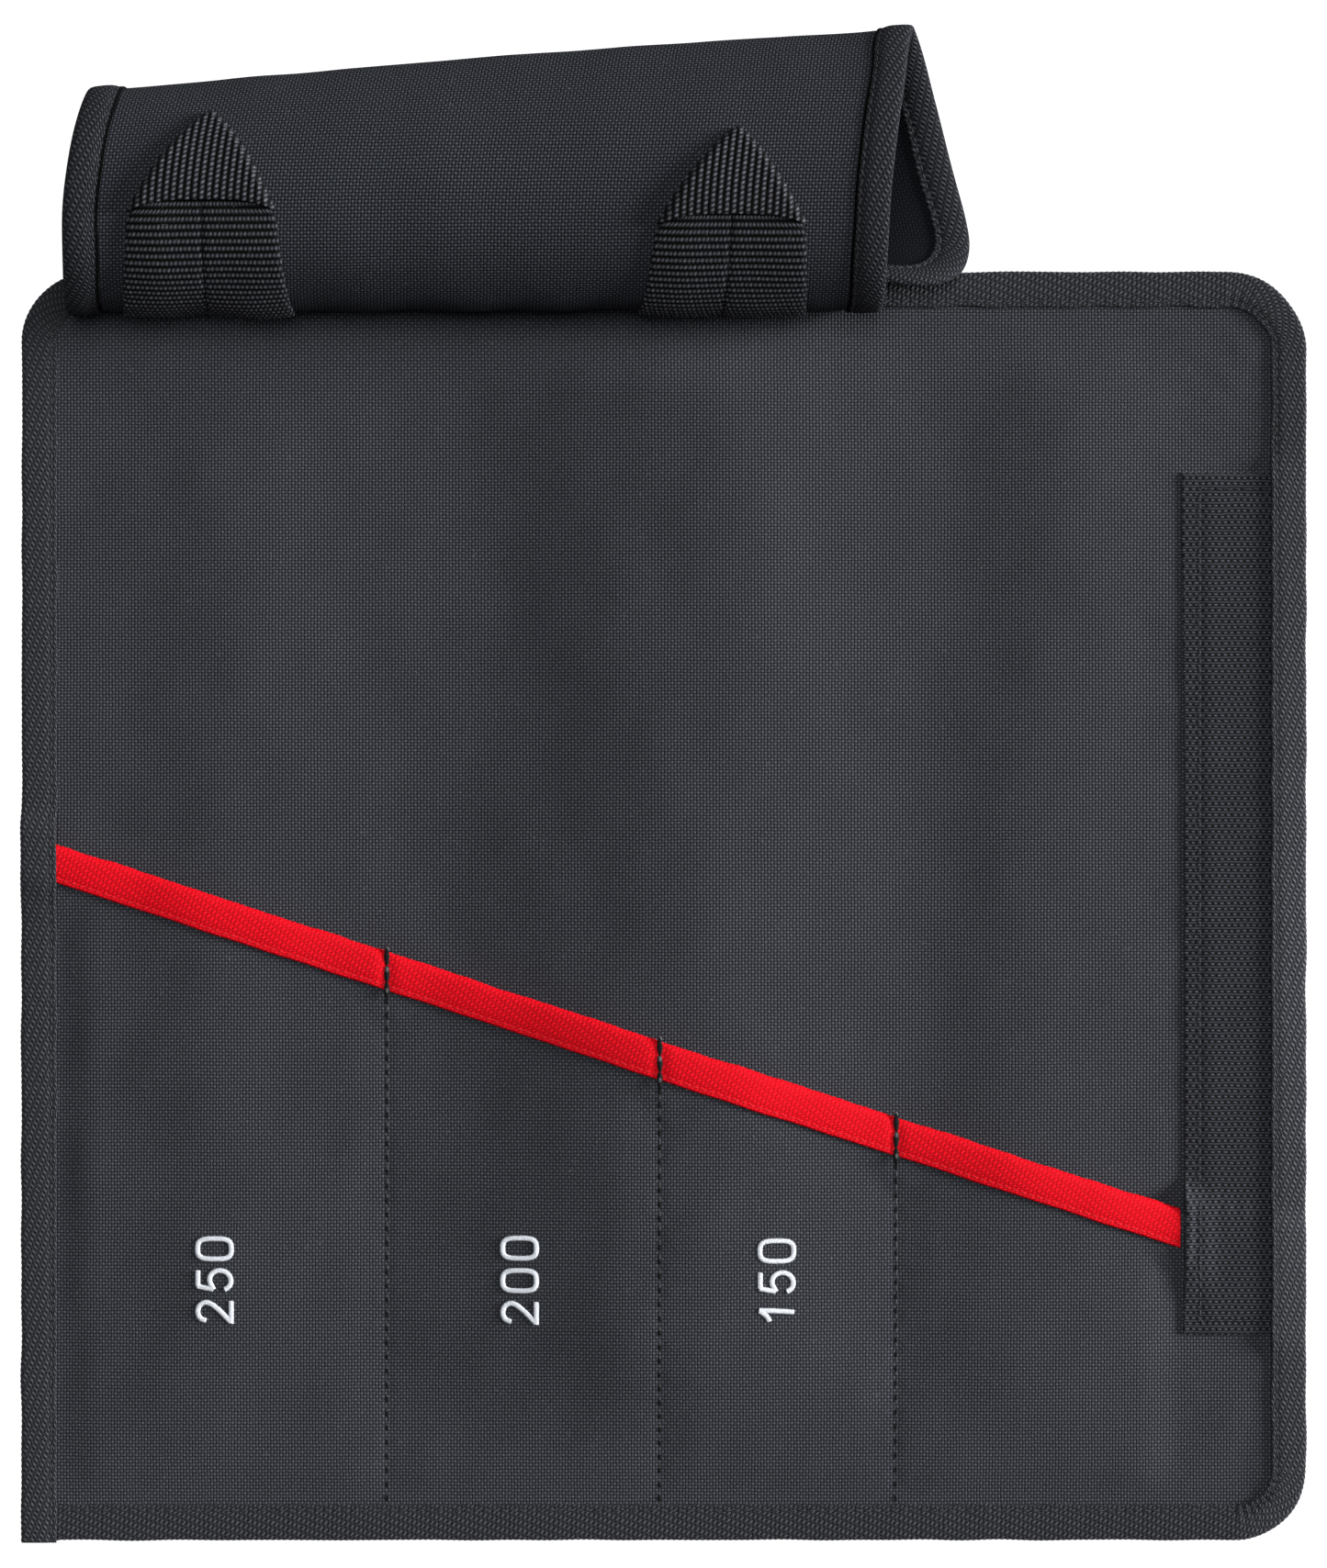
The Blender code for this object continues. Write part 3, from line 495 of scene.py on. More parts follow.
def swept_piece(name, rings, uvs, material):
    """A bar through rings of equal count, capped at both ends. uvs has one more column than rings."""
    stations, count = rings.shape[:2]
    index = np.arange(stations * count).reshape(stations, count)
    after = np.roll(index, -1, axis=1)
    faces = joined(index[:-1], after[:-1], after[1:], index[1:]).reshape(-1, 4)
    near, far = uvs[:-1], uvs[1:]
    corner_uvs = np.stack([near[:, :-1], near[:, 1:], far[:, 1:], far[:, :-1]], axis=2).reshape(-1, 2)
    first_cap = list(reversed(range(count)))
    last_cap = [(stations - 1) * count + k for k in range(count)]
    cap_uvs = np.concatenate([uvs[0, first_cap], uvs[-1, :count]])
    every = faces.tolist() + [first_cap, last_cap]
    return new_piece(name, rings.reshape(-1, 3), every, np.concatenate([corner_uvs, cap_uvs]), material)


def padded(values, reach):
    """Values along the first axis, with the first and the last of them repeated."""
    return np.concatenate([np.repeat(values[:1], reach, 0), values, np.repeat(values[-1:], reach, 0)])


def blurred(values, reach):
    """Values along the first axis, eased over a number of neighbours to each side."""
    weights = np.hanning(2 * reach + 3)[1:-1]
    weights = weights / weights.sum()
    row = padded(values, reach)
    total = np.zeros_like(values)
    for k, weight in enumerate(weights):
        total = total + weight * row[k : k + len(values)]
    return total


def highest_near(values, reach):
    """The highest of each value's neighbours along the first axis."""
    row = padded(values, reach)
    return np.max([row[k : k + len(values)] for k in range(2 * reach + 1)], axis=0)


# Materials.

class Value:
    """A value in a node tree. Arithmetic on it adds Math nodes."""

    def __init__(self, socket):
        self.socket = socket
        self.tree = socket.id_data

    def math(self, operation, *others):
        return maths(self.tree, operation, self, *others)

    def __add__(self, other):
        return self.math("ADD", other)

    def __sub__(self, other):
        return self.math("SUBTRACT", other)

    def __rsub__(self, other):
        return maths(self.tree, "SUBTRACT", other, self)

    def __mul__(self, other):
        return self.math("MULTIPLY", other)

    def __truediv__(self, other):
        return self.math("DIVIDE", other)

    def __pow__(self, other):
        return self.math("POWER", other)

    def __abs__(self):
        return self.math("ABSOLUTE")

    __rmul__ = __mul__


def feed(sockets, values):
    """Gives sockets their values, by name or number: a Value, another socket or a constant."""
    for title, value in values.items():
        if isinstance(value, Value):
            value = value.socket
        if isinstance(value, bpy.types.NodeSocket):
            value.id_data.links.new(value, sockets[title])
        else:
            sockets[title].default_value = value


def made(tree, kind, values, **settings):
    """One node with its settings and what feeds it."""
    node = tree.nodes.new(kind)
    for title, value in settings.items():
        setattr(node, title, value)
    feed(node.inputs, values)
    return node


def maths(tree, operation, *values):
    node = made(tree, "ShaderNodeMath", dict(enumerate(values)), operation=operation)
    return Value(node.outputs[0])


def sine(value):
    return value.math("SINE")


def bell(value):
    return (value * value * -1.0).math("EXPONENT")


def between(value, low, high):
    return value.math("MAXIMUM", low).math("MINIMUM", high)


def mixed(amount, low, high):
    """Low where amount is 0, high where it is 1."""
    return (high - low) * amount + low


def scaled(colour, factor):
    values = {0: colour, "Scale": factor}
    return made(colour.tree, "ShaderNodeVectorMath", values, operation="SCALE").outputs[0]


def noise(vector, scale, detail=2.0, roughness=0.5):
    values = {"Vector": vector, "Scale": scale, "Detail": detail, "Roughness": roughness}
    return Value(made(vector.tree, "ShaderNodeTexNoise", values).outputs["Fac"])


def separated(vector):
    node = made(vector.tree, "ShaderNodeSeparateXYZ", {0: vector})
    return Value(node.outputs[0]), Value(node.outputs[1])


def group(name, inputs):
    """A shader node group that takes a vector and these inputs.

    Returns its inputs as values, and the function that sets its outputs and gives the finished group.
    """
    tree = bpy.data.node_groups.new(name, "ShaderNodeTree")
    tree.interface.new_socket("Vector", in_out="INPUT", socket_type="NodeSocketVector")
    for title, value in inputs.items():
        kind = "NodeSocketColor" if title == "Color" else "NodeSocketFloat"
        tree.interface.new_socket(title, in_out="INPUT", socket_type=kind).default_value = value
    inward = tree.nodes.new("NodeGroupInput")

    def give(**outputs):
        for title in outputs:
            kind = "NodeSocketColor" if title == "Color" else "NodeSocketFloat"
            tree.interface.new_socket(title, in_out="OUTPUT", socket_type=kind)
        feed(tree.nodes.new("NodeGroupOutput").inputs, outputs)
        return tree

    return {title: Value(inward.outputs[title]) for title in ("Vector", *inputs)}, give


def plain_weave_group():
    """Yarns over and under in turn. Tone is the light on the yarns, Height their relief."""
    pitches = {"Pitch across": 1.0 * MM, "Pitch along": 0.944 * MM}
    given, give = group("PlainWeave", {**pitches, "Under yarn": 0.5})
    u, v = separated(given["Vector"])
    wander = (noise(given["Vector"], 90.0) - 0.5) * (0.5 * MM)
    sin_u = sine((u + wander) / given["Pitch across"] * math.pi)
    sin_v = sine((v - wander) / given["Pitch along"] * math.pi)
    high_u = abs(sin_u)
    high_v = abs(sin_v)
    # One yarn lies on top in the even squares and the other in the odd ones.
    on_top = (sin_u * sin_v).math("SIGN") * 0.5 + 0.5
    top_yarn = high_u**0.55 * high_v
    low_yarn = high_v**0.55 * high_u
    tone = mixed(on_top, low_yarn * given["Under yarn"], top_yarn)
    return give(Height=mixed(on_top, low_yarn * 0.8, top_yarn), Tone=tone**1.2)


def twill_group():
    """Binding tape: oval floats in slanting ridges, a dimmer set between them, and a darkened inner edge. Its
    Tone is painted light on the floats and painted shade between them; the dark inner edge is a painted
    shadow under the tape's lip.
    """
    lattice = {
        "Across u": 1.36 * MM,
        "Across v": -0.57 * MM,
        "Along u": 1.43 * MM,
        "Along v": 1.72 * MM,
    }
    edges = {"Narrow from": 7.6 * MM, "Edge": 10.75 * MM}
    given, give = group("TwillTape", {**lattice, "Under float": 0.35, **edges})
    u, v = separated(given["Vector"])
    u = (noise(given["Vector"], 230.0) - 0.5) * (0.6 * MM) + u
    far = abs(v)
    # The ridges crowd together where the tape is sewn down.
    v = (far - given["Narrow from"]).math("MAXIMUM", 0.0) * 0.5 + v
    across_u, across_v, along_u, along_v = (given[title] for title in lattice)
    cell = across_u * along_v - across_v * along_u
    ridge = (u * along_v - v * along_u) / cell * math.pi
    float_at = (across_u * v - across_v * u) / cell * math.pi

    def floats(kind):
        return abs(ridge.math(kind)) ** 1.6 * abs(float_at.math(kind)) ** 0.75

    top, under = floats("SINE"), floats("COSINE")
    # Painted shadow: the tone falls to black past the shaded edge, for the contact shadow along the tape's
    # inner lip.
    rim = 1.0 - between((far - given["Edge"]) / (0.25 * MM), 0.0, 1.0)
    tone = top.math("MAXIMUM", under * given["Under float"])
    return give(Height=top.math("MAXIMUM", under * 0.55), Tone=tone * rim)


def rib_dots_group():
    """Rows of small round floats, every second row solid on request: the closure strip's knit. Its Tone is
    painted light on the floats and painted shade between the rows.
    """
    sizes = {"Row": 0.86 * MM, "Dot": 2.0 * MM, "Shift": 0.25}
    given, give = group("RibDots", {**sizes, "Roundness": 1.6, "Solid rows": 1.0})
    u, v = separated(given["Vector"])
    rows = ((noise(given["Vector"], 160.0) - 0.5) * (0.5 * MM) + v) / given["Row"]
    number = rows.math("FLOOR")
    ridge = abs(sine(rows * math.pi))
    run = u / given["Dot"] + number * given["Shift"] + noise(given["Vector"], 300.0) * 0.4
    dots = abs(sine(run * math.pi))
    solid = abs(number).math("MODULO", 2.0) * given["Solid rows"]
    tone = mixed(solid, dots ** given["Roundness"], 0.45) * ridge**1.4
    return give(Height=mixed(solid, dots, 0.6) * ridge**0.7, Tone=tone)


def webbing_group():
    """Webbing: in each row bright slanted floats in pairs, a dim body under them, then a dark gap; the
    floats' brightness is painted highlight and the gap is painted shade.
    """
    sizes = {"Row": WEB_ROW, "Dot": WEB_DOT, "Shift": 0.4}
    given, give = group("Webbing", {**sizes, "Body": 0.30, "Pairs": 0.35})
    u, v = separated(given["Vector"])
    rows = v / given["Row"]
    number = rows.math("FLOOR")
    place = rows - number
    ridge = abs(sine(rows * math.pi))
    # The floats lie in the row's upper half, as a painted highlight on the side that faces the light from
    # behind, and lean with it.
    upper = bell((place - 0.62) / 0.24)
    lean = noise(given["Vector"], 300.0) * 0.35 + place * -0.5
    turn = sine((u / given["Dot"] + number * given["Shift"] + lean) * math.pi)
    dots = abs(turn)
    pair = turn * (given["Pairs"] * 0.5) + 1.0
    bright = dots**1.7 * (upper * pair)
    tone = bright.math("MAXIMUM", ridge**1.5 * given["Body"])
    return give(Height=mixed(dots, 0.55, 1.0) * ridge**0.8, Tone=tone)


def fibre_and_light_group():
    """Slow colour changes in the cloth, fine fibre grain and a little pale lint, over the weave's Tone, which
    is painted light on the yarns and painted shade between them.
    """
    colour_and_tone = {"Color": (0.04, 0.04, 0.05, 1.0), "Tone": 1.0, "Darkest": 0.25, "Lint": 0.15}
    given, give = group("FibreAndPaintedLight", colour_and_tone)
    vector = given["Vector"]
    fibre = noise(vector, 2600.0, 2.0, 0.7)
    # Painted light and shade: the weave's Tone scales the colour, down to Darkest in the gaps.
    shade = mixed(given["Tone"], given["Darkest"], 1.0)
    shade = shade * (noise(vector, 14.0, 3.0) * 0.18 + 0.91) * (fibre * 0.5 + 0.75)
    specks = noise(vector, 700.0, 1.0).math("GREATER_THAN", 0.74) * given["Lint"] * fibre
    values = {0: specks, 6: scaled(given["Color"], shade), 7: (0.42, 0.42, 0.44, 1.0)}
    lint = made(vector.tree, "ShaderNodeMix", values, data_type="RGBA")
    return give(Color=lint.outputs[2], Fibre=fibre)


PLAIN_WEAVE = plain_weave_group()
TWILL = twill_group()
RIB_DOTS = rib_dots_group()
WEBBING_WEAVE = webbing_group()
FIBRE_AND_PAINTED_LIGHT = fibre_and_light_group()


def painted_highlight(position, colour):
    """Painted highlight: paler towards the right edge, over the middle of the closure strip, where the light
    from the right falls on the binding.
    """
    x, y = separated(position)
    share = bell((y - HIGHLIGHT_AT) / HIGHLIGHT_REACH)
    side = between((x - (HALF_WIDTH - 12.5 * MM)) / (3 * MM), 0.0, 1.0)
    return scaled(colour, share * side * HIGHLIGHT_GAIN + 1.0)


def new_material(name):
    """A material, its shader and the place on the object."""
    material = bpy.data.materials.new(name)
    material.use_nodes = True
    tree = material.node_tree
    place = Value(tree.nodes.new("ShaderNodeTexCoord").outputs["Object"])
    return material, tree.nodes["Principled BSDF"], place


def blended(amount, low, high):
    """A colour between two greys or colours."""
    values = {0: amount, 6: (*low, 1.0), 7: (*high, 1.0)}
    return made(amount.tree, "ShaderNodeMix", values, data_type="RGBA").outputs[2]


def cloth_material(
    name, colour, pattern, relief, darkest, settings=None,
    lint=0.12, roughness=0.85, sheen=0.08, gloss=0.2, with_highlight=False,
):
    """A woven finish: a pattern group for relief and for its Tone, painted light and shade on the yarns,
    fibre grain and slow colour changes over it, matt with a faint sheen.
    """
    material, shader, place = new_material(name)
    tree = place.tree
    uv = made(tree, "ShaderNodeUVMap", {}, uv_map="Weave")
    weave = made(tree, "ShaderNodeGroup", {}, node_tree=pattern)
    feed(weave.inputs, {"Vector": uv.outputs[0], **(settings or {})})
    values = {"Vector": place, "Color": (*colour, 1.0), "Darkest": darkest, "Lint": lint}
    values["Tone"] = weave.outputs["Tone"]
    fibre_and_light = made(tree, "ShaderNodeGroup", values, node_tree=FIBRE_AND_PAINTED_LIGHT)
    fibre = Value(fibre_and_light.outputs["Fibre"])
    finish = fibre_and_light.outputs["Color"]
    # The right binding's paler band is painted highlight.
    if with_highlight:
        finish = painted_highlight(place, Value(finish))
    height = Value(weave.outputs["Height"]) + fibre * 0.12
    bump = made(tree, "ShaderNodeBump", {"Distance": relief, "Strength": 1.0, "Height": height})
    feed(shader.inputs, {
        "Base Color": finish,
        "Roughness": fibre * 0.12 + (roughness - 0.06),
        "Normal": bump.outputs[0],
        "Specular IOR Level": gloss,
        "Sheen Weight": sheen,
        "Sheen Roughness": 0.5,
        "Sheen Tint": (0.75, 0.8, 0.9, 1.0),
    })
    return material


def thread_material(name, colour, shine):
    """Sewing thread: round, a little glossy, with its twist showing as fine bands."""
    material, shader, place = new_material(name)
    grain = noise(place, 1900.0, 1.0)
    bump = made(place.tree, "ShaderNodeBump", {"Distance": 0.08 * MM, "Height": grain})
    dim = [part * 0.72 for part in colour]
    pale = [min(1.0, part * 1.2) for part in colour]
    feed(shader.inputs, {
        "Base Color": blended(grain, dim, pale),
        "Roughness": grain * 0.15 + shine,
        "Normal": bump.outputs[0],
        "Specular IOR Level": 0.3,
    })
    return material


def pitches(across, along):
    return {"Pitch across": across * MM, "Pitch along": along * MM}


CLOTH_DARK = (0.087, 0.094, 0.115)
PANEL_CLOTH = cloth_material("panel_cloth", CLOTH_DARK, PLAIN_WEAVE, 0.28 * MM, 0.10, pitches(1.0, 0.944))
POCKET_CLOTH = cloth_material(
    "pocket_cloth", CLOTH_DARK, PLAIN_WEAVE, 0.28 * MM, 0.10, pitches(0.935, 1.007)
)
FLAP_CLOTH = cloth_material(
    "flap_cloth", (0.083, 0.090, 0.109), PLAIN_WEAVE, 0.28 * MM, 0.08, pitches(1.02, 1.03),
    sheen=0.01, gloss=0.04,
)
# The flap's inner face is near black: painted shade inside the roll.
INSIDE_SHADE_BACK = cloth_material(
    "flap_inside_painted_shade", (0.013, 0.014, 0.018), PLAIN_WEAVE, 0.12 * MM, 0.35, pitches(1.0, 1.0),
    lint=0.0, sheen=0.0, gloss=0.03,
)
BLACK_TAPE = cloth_material("black_twill_tape", (0.066, 0.069, 0.081), TWILL, 0.62 * MM, 0.0, with_highlight=True)
# The flap's hem tape is the binding's tape in a darker colour: painted shade on the flap's tapes.
HEM_TAPE = cloth_material(
    "black_hem_tape", (0.058, 0.061, 0.072), TWILL, 0.62 * MM, 0.0, sheen=0.01, gloss=0.06
)
RED_TAPE = cloth_material(
    "red_twill_tape", (1.0, 0.0025, 0.014), TWILL, 0.16 * MM, 0.42,
    {
        "Across u": 1.43 * MM,
        "Across v": 0.57 * MM,
        "Along u": -1.43 * MM,
        "Under float": 0.45,
        "Edge": 11.5 * MM,
    },
    lint=0.0, roughness=0.7, sheen=0.0, gloss=0.1,
)
KNIT = cloth_material("closure_knit", (0.092, 0.096, 0.120), RIB_DOTS, 0.45 * MM, 0.0, {"Roundness": 2.4})
WEBBING = cloth_material(
    "ribbed_webbing", (0.092, 0.096, 0.112), WEBBING_WEAVE, 0.45 * MM, 0.0, {"Body": 0.12},
    sheen=0.01, gloss=0.10,
)
BLACK_THREAD = thread_material("black_thread", (0.035, 0.036, 0.042), 0.55)
GREY_THREAD = thread_material("dark_grey_thread", (0.075, 0.072, 0.076), 0.5)
# Near-black beads round the seam stitches: painted shade in the needle holes and in the dimples the stitches
# pull.
HOLE_SHADE = thread_material("needle_hole_painted_shade", (0.0015, 0.0015, 0.002), 0.8)
RED_THREAD = thread_material("red_thread", (0.62, 0.008, 0.016), 0.5)
WHITE_THREAD = thread_material("white_satin_thread", (0.78, 0.81, 0.93), 0.35)


# Stitching.

STITCH_NUMBERS = ("Spacing", "Stitch length", "Thread width", "Thread height", "Turn", "Loose")


def stitch_tree():
    """Geometry Nodes: short rounded stitches set along each path, turned to lie on the cloth."""
    tree = bpy.data.node_groups.new("StitchRun", "GeometryNodeTree")
    kinds = {"Geometry": "Geometry", **dict.fromkeys(STITCH_NUMBERS, "Float")}
    kinds.update(Seed="Int", Thread="Material")
    for title, kind in kinds.items():
        tree.interface.new_socket(title, in_out="INPUT", socket_type="NodeSocket" + kind)
    tree.interface.new_socket("Geometry", in_out="OUTPUT", socket_type="NodeSocketGeometry")
    given = tree.nodes.new("NodeGroupInput").outputs

    def node(kind, values, **settings):
        return made(tree, kind, values, **settings).outputs[0]

    curve = node("GeometryNodeMeshToCurve", {"Mesh": given["Geometry"]})
    points = node("GeometryNodeResampleCurve", {"Curve": curve, "Length": given["Spacing"]}, mode="LENGTH")
    bead = node("GeometryNodeMeshUVSphere", {"Segments": 8, "Rings": 5, "Radius": 0.5})
    bead = node("GeometryNodeSetShadeSmooth", {"Geometry": bead})
    sizes = {0: given["Stitch length"], 1: given["Thread width"], 2: given["Thread height"]}
    size = node("ShaderNodeCombineXYZ", sizes)
    along = node("GeometryNodeInputTangent", {})
    up = node("GeometryNodeInputNamedAttribute", {"Name": "up"}, data_type="FLOAT_VECTOR")
    lie = node("FunctionNodeAlignRotationToVector", {"Vector": along}, axis="X")
    values = {"Rotation": lie, "Vector": up}
    stand = node("FunctionNodeAlignRotationToVector", values, axis="Z", pivot_axis="X")
    draw = made(tree, "FunctionNodeRandomValue", {}, data_type="FLOAT")
    limits = {"Min": maths(tree, "MULTIPLY", given["Loose"], -1.0), "Max": given["Loose"]}
    for number, socket in enumerate(draw.inputs):
        if socket.name in limits and socket.type == "VALUE" and socket.enabled:
            feed(draw.inputs, {number: limits[socket.name]})
    feed(draw.inputs, {"Seed": given["Seed"]})
    drawn = next(socket for socket in draw.outputs if socket.enabled and socket.type == "VALUE")
    angle = maths(tree, "ADD", given["Turn"], drawn)
    twist = node("FunctionNodeAxisAngleToRotation", {"Axis": (0.0, 0.0, 1.0), "Angle": angle})
    values = {"Rotation": stand, "Rotate By": twist}
    turned = node("FunctionNodeRotateRotation", values, rotation_space="LOCAL")
    values = {"Points": points, "Instance": bead, "Rotation": turned, "Scale": size}
    stitches = node("GeometryNodeRealizeInstances", {0: node("GeometryNodeInstanceOnPoints", values)})
    painted = node("GeometryNodeSetMaterial", {"Geometry": stitches, "Material": given["Thread"]})
    feed(tree.nodes.new("NodeGroupOutput").inputs, {"Geometry": painted})
    return tree


STITCH_TREE = stitch_tree()
STITCH_SOCKETS = {
    item.name: item.identifier for item in STITCH_TREE.interface.items_tree if item.in_out == "INPUT"
}


def sewn(name, runs, thread, sizes, turn, loose, seed):
    """Stitches along runs of (points, up directions), as one plain mesh piece.

    sizes gives their spacing, length, width and height in millimetres.
    """
    points, ups, edges = [], [], []
    for run_points, run_ups in runs:
        start = len(points)
        points.extend(np.asarray(run_points).tolist())
        ups.extend(np.broadcast_to(run_ups, np.shape(run_points)).tolist())
        edges.extend((start + k, start + k + 1) for k in range(len(run_points) - 1))
    placed = [(x, y - ORIGIN_FROM_PANEL_BOTTOM, z) for x, y, z in points]
    path = bpy.data.meshes.new(name + "_path")
    path.from_pydata(placed, edges, [])
    layer = path.attributes.new("up", "FLOAT_VECTOR", "POINT")
    layer.data.foreach_set("vector", np.array(ups, np.float32).ravel())
    holder = linked(name + "_path", path)
    modifier = holder.modifiers.new("stitches", "NODES")
    modifier.node_group = STITCH_TREE
    values = dict(zip(STITCH_NUMBERS, (*(size * MM for size in sizes), turn, loose)))
    for title, value in {**values, "Seed": seed, "Thread": thread}.items():
        modifier[STITCH_SOCKETS[title]] = value
    holder.update_tag()
    bpy.context.view_layer.update()
    graph = bpy.context.evaluated_depsgraph_get()
    mesh = bpy.data.meshes.new_from_object(holder.evaluated_get(graph), depsgraph=graph)
    mesh.name = name
    holder.modifiers.remove(modifier)
    bpy.data.objects.remove(holder, do_unlink=True)
    return linked(name, mesh)


# The pieces.

def even(first, last, step):
    """Even values from first to last, at most step apart."""
    return np.linspace(first, last, max(1, math.ceil(abs(last - first) / step)) + 1)


def panel_cloth():
    corner = CORNER_BOTTOM_RIGHT
    top_start = PANEL_HEIGHT - CORNER_TOP_RIGHT
    rows = np.concatenate([
        corner - (corner - INSET) * np.cos(np.linspace(0, math.pi / 2, 9))[:-1],
        even(corner, top_start, 3 * MM),
        top_start + (CORNER_TOP_RIGHT - INSET) * np.sin(np.linspace(0, math.pi / 2, 9))[1:],
    ])
    share = np.linspace(0, 1, 134)
    left, right, _ = side_limits(rows, INSET)
    x = left[:, None] + (right - left)[:, None] * share[None, :]
    y = np.repeat(rows[:, None], len(share), axis=1)
    top = panel_top(x, y) + panel_detail(x, y) * (y > mouth(x)) - CLOTH_PLAY - PANEL_PRESS * edge_press(x)
    tops = joined(x, y, top)
    bottoms = joined(x, y, top - CLOTH)
    return sheet_piece("panel_cloth", tops, bottoms, joined(x, y), PANEL_CLOTH)


def pocket_cloth():
    corner = CORNER_BOTTOM_RIGHT
    stops = [-HALF_WIDTH + INSET, *SEAMS, STRIP_LEFT, HALF_WIDTH - corner]
    columns = []
    for first, second in zip(stops, stops[1:]):
        step = even(0, 1, 2.4 * MM / (second - first))
        columns.extend(first + (second - first) * (step - 0.06 * np.sin(2 * math.pi * step)))
    columns = np.unique(np.round(np.array(columns), 7))
    ends = HALF_WIDTH - corner + (corner - INSET) * np.sin(np.linspace(0, math.pi / 2, 12))[1:]
    columns = np.concatenate([columns, ends])
    start = INSET + corner_pull(corner - INSET, columns - (HALF_WIDTH - corner))
    end = mouth(columns) - INSET / MOUTH_COS
    share = np.linspace(0, 1, 84)
    share = share + 0.045 * np.sin(2 * math.pi * share)
    x = np.repeat(columns[None, :], len(share), axis=0)
    y = start[None, :] + (end - start)[None, :] * share[:, None]
    top = pocket_bottom(x, y) + POCKET_THICK + pocket_detail(x, y)
    top = top - CLOTH_PLAY - POCKET_PRESS * edge_press(x)
    tops = joined(x, y, top)
    bottoms = joined(x, y, top - 0.85 * CLOTH)
    return sheet_piece("pocket_cloth", tops, bottoms, joined(x, y), POCKET_CLOTH)


def strip_ramp(x):
    """How far the strip thins out towards its left edge, so that it lies close on the cloth."""
    return 0.70 * MM * np.clip((STRIP_LEFT + 10 * MM - x) / (10 * MM), 0.0, 1.0)


def closure_strip():
    sewn_left = STRIP_LEFT + STRIP_SEWN_LEFT
    sewn_right = STRIP_RIGHT - STRIP_SEWN_RIGHT
    sewn_bottom = STRIP_BOTTOM + STRIP_SEWN_BOTTOM
    sewn_top = STRIP_TOP - STRIP_SEWN_TOP
    x_line = np.concatenate([
        [STRIP_LEFT - 0.1 * MM, STRIP_LEFT + 0.4 * MM],
        even(STRIP_LEFT + 1.1 * MM, STRIP_RIGHT, 1.1 * MM),
    ])
    y_line = np.concatenate([
        [STRIP_BOTTOM - 0.1 * MM, STRIP_BOTTOM + 0.4 * MM],
        even(STRIP_BOTTOM + 1.1 * MM, STRIP_TOP - 1.1 * MM, 1.5 * MM),
        [STRIP_TOP - 0.4 * MM, STRIP_TOP + 0.1 * MM],
    ])
    x, y = np.meshgrid(x_line, y_line)
    climb = (y - STRIP_BOTTOM) / STRIP_LENGTH
    bow = 0.8 * MM * (1 - climb) + 1.0 * MM * np.sqrt(np.clip(np.sin(math.pi * climb), 0.0, 1.0))
    x = x + (bow + 0.12 * MM * uneven_line(y, 14 * MM, 41)) * ease((STRIP_LEFT + 9 * MM - x) / (9 * MM))
    low = blurred(highest_near(strip_bottom(x, y), 1), 3) - 0.15 * MM - strip_ramp(x)
    rim = np.minimum(x - STRIP_LEFT, np.minimum(y - STRIP_BOTTOM, STRIP_TOP - y))
    swell = ease((rim + 0.4 * MM) / (1.0 * MM))
    sewn_rim = np.minimum(y - sewn_bottom, sewn_top - y)
    groove = hump(np.minimum(x - sewn_left, sewn_rim), 0.0, 0.8 * MM)
    height = 0.20 * MM + 0.70 * MM * swell - 0.35 * MM * groove + 0.08 * MM * uneven(x, y, 16 * MM, 42)
    # Under the binding the stack is pressed flat towards the edge.
    pressed = edge_press(x) * STRIP_PRESS
    tops = joined(x, y, low + height - pressed)
    bottoms = joined(x, y, low + 0.43 * strip_ramp(x) - pressed)
    piece = sheet_piece("closure_strip_knit", tops, bottoms, joined(x, y), KNIT)
    run_x = np.concatenate([
        even(sewn_right, sewn_left, 1 * MM),
        np.full(260, sewn_left),
        even(sewn_left, sewn_right, 1 * MM),
    ])
    ends = math.ceil((sewn_right - sewn_left) / MM) + 1
    run_y = np.concatenate([
        np.full(ends, sewn_top),
        np.linspace(sewn_top, sewn_bottom, 260),
        np.full(ends, sewn_bottom),
    ])
    run_z = strip_bottom(run_x, run_y) + 0.80 * MM - strip_ramp(run_x)
    return piece, [(joined(run_x, run_y, blurred(run_z, 3)), UP)]


